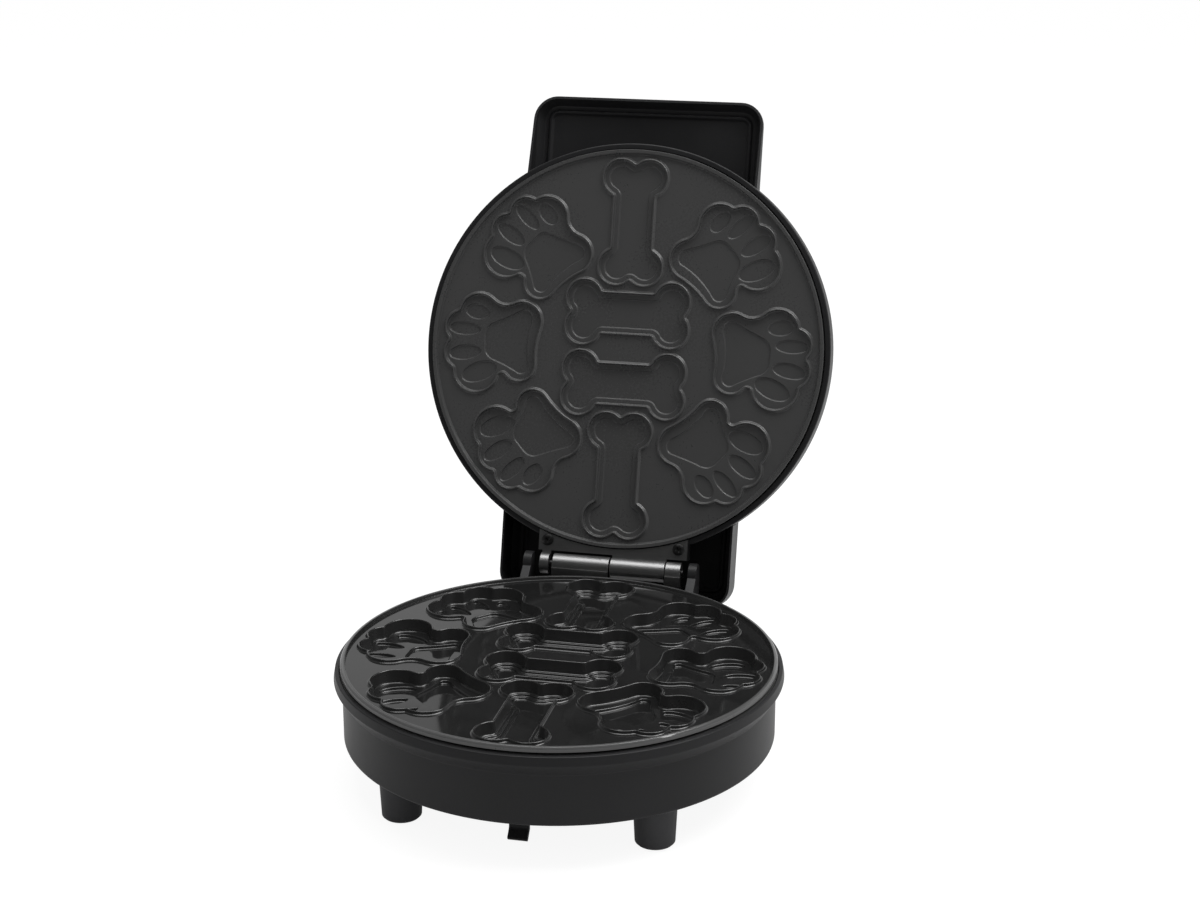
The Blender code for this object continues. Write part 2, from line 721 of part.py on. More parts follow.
def make_plates(finishes, base, lid):
    lower = plate(LOWER_CAVITY_DEPTH, LOWER_BACK, LOWER_POCKET_DEPTH)
    place(moved(lower, 0, 0, RIM_HEIGHT), "lower_plate", finishes["glossy_coat"], base)
    # The upper plate is the lower one's mirror image, so that its cavities close on the same treats
    upper = plate(UPPER_CAVITY_DEPTH, UPPER_BACK, UPPER_POCKET_DEPTH)
    upper.transform(Matrix.Scale(-1, 4, (0, 0, 1)))
    place(upper, "upper_plate", finishes["matt_coat"], lid)


# Base


def housing_profile():
    """The tub's outer side from its floor to its shoulder, its plate seat and its inner side."""
    bead_rise = math.sqrt(BEAD_RADIUS**2 - (SEAT_RADIUS - HOUSING_RADIUS) ** 2)
    bead_height = SHOULDER_HEIGHT - bead_rise
    fillet_reach = BEAD_RADIUS + UNDERBEAD_FILLET
    fillet_height = bead_height - math.sqrt(fillet_reach**2 - UNDERBEAD_FILLET**2)
    meeting = math.atan2(fillet_height - bead_height, UNDERBEAD_FILLET)
    top = math.acos((SEAT_RADIUS - HOUSING_RADIUS) / BEAD_RADIUS)
    fillet_centre = (HOUSING_RADIUS + UNDERBEAD_FILLET, fillet_height)
    edge_centre = (HOUSING_RADIUS - HOUSING_EDGE, FOOT_HEIGHT + HOUSING_EDGE)
    seat = RIM_HEIGHT - SKIRT_DEPTH - GAP
    profile = [(0, FOOT_HEIGHT)]
    profile += arc_points(edge_centre, HOUSING_EDGE, -math.pi / 2, 0, math.pi / 2)
    profile += arc_points(fillet_centre, UNDERBEAD_FILLET, math.pi, math.pi + meeting, math.pi / 2)
    profile += arc_points((HOUSING_RADIUS, bead_height), BEAD_RADIUS, meeting, top, BEAD_TURN)[1:]
    profile += [(SEAT_RADIUS, seat), (HOUSING_INNER, seat), (HOUSING_INNER, FLOOR_TOP), (0, FLOOR_TOP)]
    return profile


def foot_places():
    front = [("front_left", -FRONT_FOOT_X, -FRONT_FOOT_Y), ("front_right", FRONT_FOOT_X, -FRONT_FOOT_Y)]
    rear = [("rear_left", -REAR_FOOT_X, REAR_FOOT_Y), ("rear_right", REAR_FOOT_X, REAR_FOOT_Y)]
    return front + rear


def make_base_housing(finishes, base):
    post_top = LOWER_BACK_HEIGHT - GAP
    post_low = FLOOR_TOP - HOUSING_WALL / 2
    posts = [prism(circle(spot, POST_RADIUS, POST_STEPS), post_low, post_top) for spot in fixing_places()]
    low, high = FOOT_HEIGHT - OVERRUN, FLOOR_TOP + OVERRUN
    posts_over = post_top + OVERRUN
    holes = [prism(circle(spot, SCREW_HOLE, SCREW_STEPS), low, posts_over) for spot in fixing_places()]
    holes += [prism(circle((x, y), SCREW_HOLE, SCREW_STEPS), low, high) for _, x, y in foot_places()]
    inlet = INLET_BORE_RADIUS + INLET_WALL + GAP
    holes.append(prism(circle((0, INLET_Y), inlet, FOOT_STEPS), low, high))
    for side in (-1, 1):
        for row in (-1, 0, 1):
            x, y = side * VENT_CENTRE_X, row * VENT_PITCH
            slot = rounded_rectangle(
                x - VENT_LENGTH / 2,
                x + VENT_LENGTH / 2,
                y - VENT_WIDTH / 2,
                y + VENT_WIDTH / 2,
                VENT_WIDTH / 2,
                math.pi / 4,
            )
            holes.append(prism(slot, low, high))
    tub = cut(join(revolve(housing_profile()), *posts), *holes)
    place(tub, "base_housing", finishes["case"], base)


def make_feet(finishes, base):
    top = FOOT_HEIGHT - GAP
    pad_top = PAD_HEIGHT + GAP
    drop = SCREW_BITE + GAP
    profile = (
        (0, pad_top),
        (PAD_RADIUS + GAP, pad_top),
        (PAD_RADIUS + GAP, PAD_PROUD),
        (FOOT_BOTTOM_RADIUS - FOOT_EDGE, PAD_PROUD),
        (FOOT_BOTTOM_RADIUS, PAD_PROUD + FOOT_EDGE),
        (FOOT_TOP_RADIUS, top - FOOT_ROOT_HEIGHT),
        (FOOT_ROOT_RADIUS, top),
        (SCREW_HOLE, top),
        (SCREW_HOLE, top - drop),
        (0, top - drop),
    )
    pad = ((0, 0), (PAD_RADIUS, 0), (PAD_RADIUS, PAD_HEIGHT), (0, PAD_HEIGHT))
    for name, x, y in foot_places():
        foot = moved(revolve(profile, FOOT_STEPS), x, y, 0)
        place(foot, name + "_foot", finishes["case"], base)
        place(moved(revolve(pad, FOOT_STEPS), x, y, 0), name + "_pad", finishes["rubber"], base)
        one = screw(HOUSING_WALL + SCREW_BITE)
        place(moved(one, x, y, FLOOR_TOP + GAP), name + "_foot_screw", finishes["steel"], base)


def cord_hook():
    """The front hook: a root pad, a gusset and a plate whose end flares outward."""
    top = FOOT_HEIGHT - GAP
    outer, inner = -HOOK_FACE_Y, -HOOK_FACE_Y + HOOK_THICKNESS
    thickness_run = HOOK_THICKNESS * math.sqrt(0.5)
    bend_inside = HOOK_BEND_HEIGHT - HOOK_THICKNESS * math.tan(math.pi / 8)
    tip = (outer - HOOK_TIP_RUN, HOOK_BEND_HEIGHT - HOOK_TIP_RUN)
    section = (
        (inner, top),
        (outer, top),
        (outer, HOOK_BEND_HEIGHT),
        tip,
        (tip[0] + thickness_run, tip[1] - thickness_run),
        (inner, bend_inside),
    )
    root_back = inner + HOOK_ROOT_DEPTH
    root = box(
        (-HOOK_ROOT_WIDTH / 2, HOOK_ROOT_WIDTH / 2), (outer + GAP, root_back), (top - HOOK_ROOT_HEIGHT, top)
    )
    buried = inner - HOOK_THICKNESS / 2
    gusset = (
        (buried, top - GAP),
        (buried, HOOK_GUSSET_HEIGHT),
        (inner, HOOK_GUSSET_HEIGHT),
        (root_back - GAP, top - HOOK_ROOT_HEIGHT),
        (root_back - GAP, top - GAP),
    )
    web = prism_x(gusset, -HOOK_GUSSET_WIDTH / 2, HOOK_GUSSET_WIDTH / 2)
    return join(prism_x(section, -HOOK_WIDTH / 2, HOOK_WIDTH / 2), root, web)


def make_cord_parts(finishes, base):
    place(cord_hook(), "front_cord_hook", finishes["case"], base)
    rear = cord_hook()
    rear.transform(Matrix.Rotation(math.pi, 4, "Z"))
    place(rear, "rear_cord_hook", finishes["case"], base)
    barrel = INLET_BORE_RADIUS + INLET_WALL
    flange_top = FOOT_HEIGHT - GAP
    profile = (
        (INLET_BORE_RADIUS, flange_top - INLET_FLANGE_HEIGHT),
        (barrel + INLET_FLANGE, flange_top - INLET_FLANGE_HEIGHT),
        (barrel + INLET_FLANGE, flange_top),
        (barrel, flange_top),
        (barrel, flange_top + INLET_LENGTH),
        (INLET_BORE_RADIUS, flange_top + INLET_LENGTH),
    )
    place(moved(revolve(profile, FOOT_STEPS), 0, INLET_Y, 0), "cord_inlet", finishes["rubber"], base)


# Hinge


def ear_section():
    """An ear's side view: round about the hinge axis, with a nose that stops the open lid's hood."""
    reach = HOOD_END - BAND_WALL
    inner = open_point(reach, HOOD_RIM)
    facing = Vector((inner[0], inner[1])) - Vector(open_point(HOOD_END, HOOD_RIM))
    away = Vector((-facing.y, facing.x)).normalized() * GAP
    nose_top = Vector(inner) + away - facing.normalized() * GAP
    nose_low = nose_top - facing.normalized() * STOP_HEIGHT
    round_top = arc_points((HINGE_BACK, HINGE_HEIGHT), EAR_RADIUS, 0, math.pi, math.pi / 6)
    front_top = HINGE_HEIGHT - EAR_SHOULDER_DROP
    points = [(EAR_FRONT_Y, BLOCK_BOTTOM), (BLOCK_BACK_Y, BLOCK_BOTTOM), tuple(nose_low), tuple(nose_top)]
    return points + round_top + [(EAR_FRONT_Y, front_top)]


def make_hinge_block(finishes, base):
    front = HOUSING_RADIUS + GAP
    edge = math.asin(BLOCK_HALF / front)
    turn = 2 * math.pi / ROUND_STEPS
    # Faceted like the tub, but far enough out to clear the corners of its facets
    face = arc_points((0, 0), front / math.cos(turn / 2), math.pi / 2 - edge, math.pi / 2 + edge, turn)
    face[0] = (BLOCK_HALF, face[0][1])
    face[-1] = (-BLOCK_HALF, face[-1][1])
    back = [(-BLOCK_HALF, BLOCK_BACK_Y), (BLOCK_HALF, BLOCK_BACK_Y)]
    block = prism(face + back, BLOCK_BOTTOM, BLOCK_TOP)
    ears = [
        prism_x(ear_section(), BLOCK_HALF - EAR_THICKNESS, BLOCK_HALF + GAP),
        prism_x(ear_section(), -BLOCK_HALF - GAP, EAR_THICKNESS - BLOCK_HALF),
    ]
    holes = []
    for _, x in base_leaf_screws():
        holes.append(moved(hinge_screw_hole(), x, BLOCK_BACK_Y, BASE_LEAF_SCREW_HEIGHT))
    place(cut(join(block, *ears), *holes), "hinge_block", finishes["case"], base)


def base_leaf_screws():
    return (("left", -BASE_LEAF_SCREW_X), ("middle", 0), ("right", BASE_LEAF_SCREW_X))


def point_back(bm):
    """Turns a piece that points up so that it points back along +Y."""
    bm.transform(Matrix.Rotation(-math.pi / 2, 4, "X"))
    return bm


def hinge_screw_hole():
    return point_back(prism(circle((0, 0), SCREW_HOLE, SCREW_STEPS), -BASE_SCREW_BITE - GAP, OVERRUN))


def knuckled_leaf(plate_bm, straps, knuckles, centre, holes):
    """A hinge leaf: its plate, the straps that reach the knuckles, and the pin's bore through them."""
    barrels = [hinge_cylinder(BARREL_RADIUS, low, high, centre, BARREL_STEPS) for low, high in knuckles]
    bore = hinge_cylinder(BORE_RADIUS, -LEAF_HALF - OVERRUN, LEAF_HALF + OVERRUN, centre, PIN_STEPS)
    return cut(join(plate_bm, *straps, *barrels), bore, *holes)


def make_base_leaf(finishes, base):
    front = BLOCK_BACK_Y + GAP
    back = front + BASE_LEAF_THICKNESS
    low_edge = HINGE_HEIGHT - BARREL_RADIUS - KNUCKLE_RUNNING_GAP
    leaf = box((-LEAF_HALF, LEAF_HALF), (front, back), (BASE_LEAF_BOTTOM, low_edge))
    knuckles = ((-LONG_KNUCKLE_LEFT, -KNUCKLE_GAP), (LONG_KNUCKLE_RIGHT + KNUCKLE_GAP, LEAF_HALF))
    strap_low = low_edge - BARREL_RADIUS
    straps = [box(span, (front, HINGE_BACK), (strap_low, HINGE_HEIGHT)) for span in knuckles]
    holes = []
    for _, x in base_leaf_screws():
        hole = point_back(prism(circle((0, 0), SCREW_HOLE, SCREW_STEPS), -OVERRUN, OVERRUN))
        holes.append(moved(hole, x, back, BASE_LEAF_SCREW_HEIGHT))
    made = knuckled_leaf(leaf, straps, knuckles, (HINGE_BACK, HINGE_HEIGHT), holes)
    place(made, "base_hinge_leaf", finishes["hinge_steel"], base)
    for side, x in base_leaf_screws():
        length = GAP + BASE_LEAF_THICKNESS + BASE_SCREW_BITE
        one = point_back(screw(length, LEAF_HEAD_RADIUS, LEAF_HEAD_HEIGHT))
        one = moved(one, x, back + GAP, BASE_LEAF_SCREW_HEIGHT)
        place(one, "base_hinge_screw_" + side, finishes["steel"], base)
    pin_half = LEAF_HALF + PIN_PROUD
    pin = hinge_cylinder(PIN_RADIUS, -pin_half, pin_half, (HINGE_BACK, HINGE_HEIGHT), PIN_STEPS)
    place(pin, "hinge_pin", finishes["steel"], base)


def lid_leaf_outline(half, inner_radius, back):
    """A plan with a hollow front edge that follows the plate, and a straight back edge."""
    turn = 2 * math.pi / ROUND_STEPS
    edge = math.asin(half / inner_radius)
    front = arc_points((0, 0), inner_radius, math.pi / 2 - edge, math.pi / 2 + edge, turn)
    return front + [(-half, back), (half, back)]


def make_lid_leaf(finishes, lid):
    low, high = LID_LEAF_FACE, LID_LEAF_FACE + LID_LEAF_THICKNESS
    leaf = prism(lid_leaf_outline(LID_LEAF_HALF, LID_LEAF_FRONT_RADIUS, LID_LEAF_BACK_Y), low, high)
    knuckles = ((KNUCKLE_GAP / 2, LONG_KNUCKLE_RIGHT), (-LEAF_HALF, -SHORT_KNUCKLE_LEFT))
    axis = (HINGE_BACK, HINGE_RISE - PLATE_GAP)
    straps = [box(span, (LID_LEAF_BACK_Y - LID_LEAF_THICKNESS, HINGE_BACK), (low, high)) for span in knuckles]
    holes = [
        prism(circle((x, LID_SCREW_Y), SCREW_HOLE, SCREW_STEPS), low - OVERRUN, high + OVERRUN)
        for x in (-LID_SCREW_X, LID_SCREW_X)
    ]
    made = knuckled_leaf(leaf, straps, knuckles, axis, holes)
    place(made, "lid_hinge_leaf", finishes["hinge_steel"], lid)
    length = GAP + LID_LEAF_THICKNESS + LID_SCREW_BITE
    for side, x in (("left", -LID_SCREW_X), ("right", LID_SCREW_X)):
        one = upside_down(screw(length, LEAF_HEAD_RADIUS, LEAF_HEAD_HEIGHT))
        place(moved(one, x, LID_SCREW_Y, low - GAP), "lid_hinge_screw_" + side, finishes["steel"], lid)


# Lid


def dome_height(radius):
    """The dome's outer height at a radius inside its rounded edge."""
    flat = LID_RADIUS - DOME_EDGE_RADIUS
    return DOME_EDGE_HEIGHT + DOME_CROWN * (1 - radius / flat)


def dome_profile(offset, low, turn=math.pi / 6):
    """The dome's side from its crown to a low edge, moved outward by an offset."""
    flat = LID_RADIUS - DOME_EDGE_RADIUS
    centre = (flat, DOME_EDGE_HEIGHT - DOME_EDGE_RADIUS)
    profile = [(0, dome_height(0) + offset)]
    profile += arc_points(centre, DOME_EDGE_RADIUS + offset, math.pi / 2, 0, turn)
    return profile + [(LID_RADIUS + offset, low)]


def make_lid_housing(finishes, lid):
    seat = SKIRT_DEPTH + GAP
    ledge_inner = SEAT_RADIUS - LEDGE_REACH
    ledge_back = seat + LEDGE_THICKNESS
    inner = dome_profile(-LID_WALL, ledge_back + LEDGE_THICKNESS / 2, math.pi / 4)
    profile = dome_profile(0, LID_EDGE_HEIGHT + LID_EDGE_CHAMFER)
    profile += [
        (LID_RADIUS - LID_EDGE_CHAMFER, LID_EDGE_HEIGHT),
        (SEAT_RADIUS, LID_EDGE_HEIGHT),
        (SEAT_RADIUS, seat),
        (ledge_inner, seat),
        (ledge_inner, ledge_back),
    ]
    profile += inner[::-1]
    shelf_radius = (SEAT_RADIUS + LID_RADIUS) / 2
    shelf_low = LID_LEAF_FACE + LID_LEAF_THICKNESS + GAP
    shelf_plan = lid_leaf_outline(LID_LEAF_HALF, shelf_radius, LID_LEAF_BACK_Y + GAP)
    shelf = prism(shelf_plan, shelf_low, shelf_low + SHELF_HEIGHT)
    posts, holes = [], []
    for x, y in fixing_places():
        top = dome_height(math.hypot(x, y))
        post_low = UPPER_BACK + GAP
        posts.append(prism(circle((x, y), POST_RADIUS, POST_STEPS), post_low, top - LID_WALL / 2))
        holes.append(prism(circle((x, y), SCREW_HOLE, SCREW_STEPS), post_low - OVERRUN, top + OVERRUN))
        head = HEAD_RADIUS + GAP
        holes.append(prism(circle((x, y), head, SCREW_STEPS), plate_screw_seat(x, y), top + OVERRUN))
    for x in (-LID_SCREW_X, LID_SCREW_X):
        hole_top = shelf_low + LID_SCREW_BITE + GAP
        holes.append(prism(circle((x, LID_SCREW_Y), SCREW_HOLE, SCREW_STEPS), shelf_low - OVERRUN, hole_top))
    for x, y in clip_places():
        side = math.copysign(1, x)
        inner_x = x - side * (CLIP_THICKNESS / 2 + CLIP_SLOT_GAP)
        outer_x = x + side * (CLIP_THICKNESS / 2 + CLIP_NOSE + CLIP_SLOT_GAP)
        spans = (sorted((inner_x, outer_x)), (y - CLIP_WIDTH / 2 - GAP, y + CLIP_WIDTH / 2 + GAP))
        holes.append(box(*spans, (dome_height(math.hypot(x, y)) - LID_WALL - OVERRUN, BAND_TOP)))
    for x in (-LENS_X, LENS_X):
        low = dome_height(LENS_Y) - LID_WALL - OVERRUN
        holes.append(prism(circle((x, -LENS_Y), LENS_RADIUS + GAP, POST_STEPS), low, BAND_TOP))
    dome = cut(join(revolve(profile), shelf, *posts), *holes)
    place(dome, "lid_housing", finishes["case"], lid)
    for number, (x, y) in enumerate(fixing_places(), 1):
        seat_height = plate_screw_seat(x, y) + GAP
        length = seat_height - UPPER_BACK + UPPER_POCKET_DEPTH - GAP
        place(moved(screw(length), x, y, seat_height), f"upper_plate_screw_{number}", finishes["steel"], lid)


def plate_screw_seat(x, y):
    """How deep the dome is counterbored for a plate screw's head."""
    return dome_height(math.hypot(x, y)) - HEAD_HEIGHT - 2 * GAP


def clip_places():
    return [(x, y) for x in (-CLIP_X, CLIP_X) for y in (-CLIP_Y, CLIP_Y)]


def band_outline(inset):
    return rounded_rectangle(
        inset - BAND_HALF, BAND_HALF - inset, inset - HANDLE_TIP, HOOD_END - inset, BAND_CORNER - inset
    )


def band_shell(inset, low, top, radius):
    """The band's outer or inner form: straight sides with a rounded top edge."""
    sections = [(band_outline(inset), low)]
    for across, up in arc_points((0, 0), radius, 0, math.pi / 2, math.pi / 6):
        sections.append((band_outline(inset + radius - across), top - radius + up))
    return loft(sections)


def handle_rim(y):
    return HANDLE_RIM - HANDLE_RIM_SLOPE * (HANDLE_RIM_Y + y)


def make_lid_band(finishes, lid):
    shell = band_shell(0, HOOD_RIM, BAND_TOP, BAND_ROUND)
    hollow = band_shell(BAND_WALL, HOOD_RIM - OVERRUN, BAND_TOP - BAND_SKIN, BAND_ROUND - BAND_WALL)
    dome = dome_profile(GAP, HOOD_RIM - OVERRUN)
    dome = [*dome, (0, HOOD_RIM - OVERRUN)]
    far = -HANDLE_TIP - OVERRUN
    near = -HANDLE_RIM_Y + (HANDLE_RIM - HOOD_RIM) / HANDLE_RIM_SLOPE
    under = ((far, handle_rim(far)), (near, HOOD_RIM), (near, HOOD_RIM - OVERRUN), (far, HOOD_RIM - OVERRUN))
    wedge = prism_x(under, -BAND_HALF - OVERRUN, BAND_HALF + OVERRUN)
    span = (BAND_TOP - BAND_SKIN - OVERRUN, BAND_TOP + OVERRUN)
    lenses = [prism(circle((x, -LENS_Y), LENS_RADIUS + GAP, POST_STEPS), *span) for x in (-LENS_X, LENS_X)]
    band = cut(shell, hollow, revolve(dome), wedge, *lenses)
    clips = [clip(x, y) for x, y in clip_places()]
    place(join(band, *clips), "lid_band", finishes["case"], lid)


def clip(x, y):
    """A tongue that hangs from the band through the dome, with a nose that catches under it."""
    top = BAND_TOP - BAND_SKIN / 2
    nose_top = dome_height(math.hypot(x, y)) - LID_WALL - GAP
    inner, outer = -CLIP_THICKNESS / 2, CLIP_THICKNESS / 2
    tongue = (
        (inner, top),
        (inner, nose_top - CLIP_NOSE_HEIGHT),
        (outer, nose_top - CLIP_NOSE_HEIGHT),
        (outer + CLIP_NOSE, nose_top - CLIP_NOSE_HEIGHT / 2),
        (outer + CLIP_NOSE, nose_top),
        (outer, nose_top),
        (outer, top),
    )
    side = math.copysign(1, x)
    bm = prism([(side * px, pz) for px, pz in tongue], -CLIP_WIDTH / 2, CLIP_WIDTH / 2)
    # The section lies in X and Z, so the prism is stood up about X
    bm.transform(Matrix.Rotation(math.pi / 2, 4, "X"))
    return moved(bm, x, y, 0)


def make_lights(finishes, lid):
    under_dome = dome_height(LENS_Y) - LID_WALL - LENS_SEAT_DROP
    profile = (
        (0, BAND_TOP + LENS_PROUD),
        (LENS_RADIUS, BAND_TOP),
        (LENS_RADIUS, under_dome),
        (LENS_RADIUS + LENS_FLANGE, under_dome),
        (LENS_RADIUS + LENS_FLANGE, under_dome - LENS_FLANGE_HEIGHT),
        (0, under_dome - LENS_FLANGE_HEIGHT),
    )
    lamp_top = under_dome - LENS_FLANGE_HEIGHT - GAP
    lamp = (
        (0, lamp_top),
        (LAMP_RADIUS * LAMP_TIP_SHARE, lamp_top - LAMP_RADIUS * LAMP_TIP_SHARE / 2),
        (LAMP_RADIUS, lamp_top - LAMP_RADIUS),
        (LAMP_RADIUS, lamp_top - LAMP_LENGTH),
        (0, lamp_top - LAMP_LENGTH),
    )
    for name, x in (("power", -LENS_X), ("ready", LENS_X)):
        lens = moved(revolve(profile, POST_STEPS), x, -LENS_Y, 0)
        place(lens, name + "_light_lens", finishes[name + "_lens"], lid)
        one = moved(revolve(lamp, POST_STEPS), x, -LENS_Y, 0)
        place(one, name + "_lamp", finishes["lamp_glass"], lid)


# Heat: each set is drawn under a plate whose back faces down and whose rim plane is at zero


def heater(back):
    """A bent tube under a plate's back, its two ends turned down as leads."""
    height = -back - GAP - HEATER_TUBE_RADIUS
    start = math.pi / 2 + HEATER_OPENING / 2
    ring = arc_points(
        (0, 0), HEATER_RING_RADIUS, start, start + 2 * math.pi - HEATER_OPENING, 2 * math.pi / SHIELD_STEPS
    )
    path = [Vector((x, y, height)) for x, y in ring]
    first, last = path[0], path[-1]
    inward = [Vector((0, -HEATER_LEAD, 0)) + end for end in (first, last)]
    path = [inward[0], *path, inward[1]]
    curve = bpy.data.curves.new("working", "CURVE")
    curve.dimensions = "3D"
    curve.bevel_depth = HEATER_TUBE_RADIUS
    curve.bevel_resolution = (TUBE_SIDES - 4) // 2
    curve.use_fill_caps = True
    spline = curve.splines.new("POLY")
    spline.points.add(len(path) - 1)
    for spot, point in zip(spline.points, path):
        spot.co = (*point, 1)
    carrier = bpy.data.objects.new("working", curve)
    bpy.context.scene.collection.objects.link(carrier)
    mesh = bpy.data.meshes.new_from_object(carrier.evaluated_get(bpy.context.evaluated_depsgraph_get()))
    bm = bmesh.new()
    bm.from_mesh(mesh)
    bpy.data.meshes.remove(mesh)
    # A curve's end caps come with corners of their own
    bmesh.ops.remove_doubles(bm, verts=bm.verts, dist=WELD)
    bpy.data.objects.remove(carrier)
    bpy.data.curves.remove(curve)
    return bm


def shield_top(back):
    return -back - 2 * GAP - 2 * HEATER_TUBE_RADIUS


def heat_shield(back):
    """A pressed pan under the heater, its lip turned up to the plate."""
    top = shield_top(back)
    low = top - SHIELD_THICKNESS
    lip = -back - GAP
    inner = SHIELD_RADIUS - SHIELD_LIP_RUN
    profile = (
        (0, low),
        (inner, low),
        (SHIELD_RADIUS, lip),
        (SHIELD_RADIUS - SHIELD_THICKNESS, lip),
        (inner - SHIELD_THICKNESS, top),
        (0, top),
    )
    span = (low - OVERRUN, top + OVERRUN)
    holes = [prism(circle(spot, SHIELD_POST_HOLE, SCREW_STEPS), *span) for spot in fixing_places()]
    holes.append(prism(circle((0, 0), SCREW_HOLE, SCREW_STEPS), *span))
    return cut(revolve(profile, SHIELD_STEPS), *holes)


def thermostat(back):
    """A round thermostat with its strap against the shield and two blades below."""
    top = shield_top(back) - SHIELD_THICKNESS - GAP
    low = top - THERMOSTAT_HEIGHT
    drum = prism(circle((0, 0), THERMOSTAT_RADIUS, FOOT_STEPS), low, top)
    half, half_width = THERMOSTAT_STRAP / 2, THERMOSTAT_STRAP_WIDTH / 2
    strap = box((-half, half), (-half_width, half_width), (top - SHIELD_THICKNESS, top))
    blades = []
    for side in (-1, 1):
        x = side * THERMOSTAT_RADIUS / 2
        thin = SHIELD_THICKNESS / 2
        wide = THERMOSTAT_BLADE_WIDTH / 2
        blades.append(box((x - thin, x + thin), (-wide, wide), (low - THERMOSTAT_BLADE, low + thin)))
    return moved(join(drum, strap, *blades), 0, THERMOSTAT_Y, 0)


def shield_screw(back, pocket_depth):
    """The centre screw that draws the shield and heater up to the plate."""
    under = shield_top(back) - SHIELD_THICKNESS - GAP
    length = -under - back + pocket_depth - GAP
    return moved(upside_down(screw(length)), 0, 0, under)


def make_heat_parts(finishes, base, lid):
    sets = (("lower", LOWER_BACK, LOWER_POCKET_DEPTH, base), ("upper", UPPER_BACK, UPPER_POCKET_DEPTH, lid))
    for name, back, pocket_depth, body in sets:
        pieces = (
            ("heater", heater(back), "heater_steel"),
            ("heat_shield", heat_shield(back), "shield_steel"),
            ("thermostat", thermostat(back), "thermostat_body"),
            ("shield_screw", shield_screw(back, pocket_depth), "steel"),
        )
        for kind, bm, finish in pieces:
            if body is base:
                moved(bm, 0, 0, RIM_HEIGHT)
            else:
                bm.transform(Matrix.Scale(-1, 4, (0, 0, 1)))
            place(bm, name + "_" + kind, finishes[finish], body)


def make_wiring_parts(finishes, base):
    shield_low = RIM_HEIGHT + shield_top(LOWER_BACK) - SHIELD_THICKNESS
    fuse = prism(circle((0, 0), FUSE_RADIUS, SCREW_STEPS), -FUSE_LENGTH / 2, FUSE_LENGTH / 2)
    turn_to_x(fuse)
    flat = FUSE_RADIUS * math.cos(math.pi / SCREW_STEPS)
    place(moved(fuse, 0, FUSE_Y, shield_low - GAP - flat), "thermal_fuse", finishes["thermostat_body"], base)
    half, low = TERMINAL_LENGTH / 2, FLOOR_TOP + GAP
    front, back = TERMINAL_Y - TERMINAL_WIDTH / 2, TERMINAL_Y + TERMINAL_WIDTH / 2
    step_low, step_back = low + TERMINAL_STEP, (front + back) / 2
    section = (
        (front, low),
        (back, low),
        (back, step_low),
        (step_back, step_low),
        (step_back, low + TERMINAL_HEIGHT),
        (front, low + TERMINAL_HEIGHT),
    )
    place(prism_x(section, -half, half), "terminal_block", finishes["terminal_plastic"], base)
    under = FOOT_HEIGHT - GAP
    length = LOWER_BACK_HEIGHT - under + LOWER_POCKET_DEPTH - GAP
    for number, (x, y) in enumerate(fixing_places(), 1):
        one = moved(upside_down(screw(length)), x, y, under)
        place(one, f"lower_plate_screw_{number}", finishes["steel"], base)


def frame_empty(name, parent, location, rotation):
    made = bpy.data.objects.new(name, None)
    bpy.context.scene.collection.objects.link(made)
    made.parent = parent
    made.location = location
    made.rotation_euler = rotation
    return made


def main():
    for old in list(bpy.data.objects):
        bpy.data.objects.remove(old, do_unlink=True)
    finishes = {
        "case": material("case", (0.022, 0.022, 0.023), 0.42),
        "glossy_coat": material("glossy_coat", (0.012, 0.012, 0.013), 0.12),
        "matt_coat": material("matt_coat", (0.040, 0.040, 0.041), 0.48),
        "rubber": material("rubber", (0.015, 0.015, 0.015), 0.85),
        "hinge_steel": material("hinge_steel", (0.30, 0.30, 0.31), 0.35, 0.9),
        "steel": material("steel", (0.16, 0.16, 0.17), 0.38, 0.9),
        "heater_steel": material("heater_steel", (0.35, 0.34, 0.33), 0.45, 0.9),
        "shield_steel": material("shield_steel", (0.62, 0.62, 0.62), 0.40, 1.0),
        "thermostat_body": material("thermostat_body", (0.72, 0.70, 0.66), 0.55),
        "terminal_plastic": material("terminal_plastic", (0.70, 0.69, 0.64), 0.50),
        "power_lens": material("power_lens", (0.45, 0.02, 0.02), 0.20),
        "ready_lens": material("ready_lens", (0.03, 0.30, 0.05), 0.20),
        "lamp_glass": material("lamp_glass", (0.80, 0.60, 0.45), 0.15),
    }
    base = frame_empty("base_frame", None, (0, BASE_AXIS_Y, 0), (0, 0, 0))
    lid = frame_empty("lid_hinge_axis", base, (0, HINGE_BACK, HINGE_HEIGHT), (-OPEN_ANGLE, 0, 0))
    make_plates(finishes, base, lid)
    make_base_housing(finishes, base)
    make_feet(finishes, base)
    make_cord_parts(finishes, base)
    make_hinge_block(finishes, base)
    make_base_leaf(finishes, base)
    make_lid_leaf(finishes, lid)
    make_lid_housing(finishes, lid)
    make_lid_band(finishes, lid)
    make_lights(finishes, lid)
    make_heat_parts(finishes, base, lid)
    make_wiring_parts(finishes, base)


main()
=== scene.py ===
"""How the dog treat maker looks: finer pieces over the CAD frame, their materials, a studio and a camera.

Lengths here are millimetres in the base frame or the lid frame of the CAD model, and become metres when a
piece is placed. In both frames the plates are centred on x = y = 0 and the front is towards -Y. In the base
frame the feet stand at z = 0. In the lid frame the upper plate's rim plane is at z = 0, and +Z is up when the
lid is shut.
"""

import math
from typing import NamedTuple

import bmesh
import bpy
from mathutils import Matrix, Vector


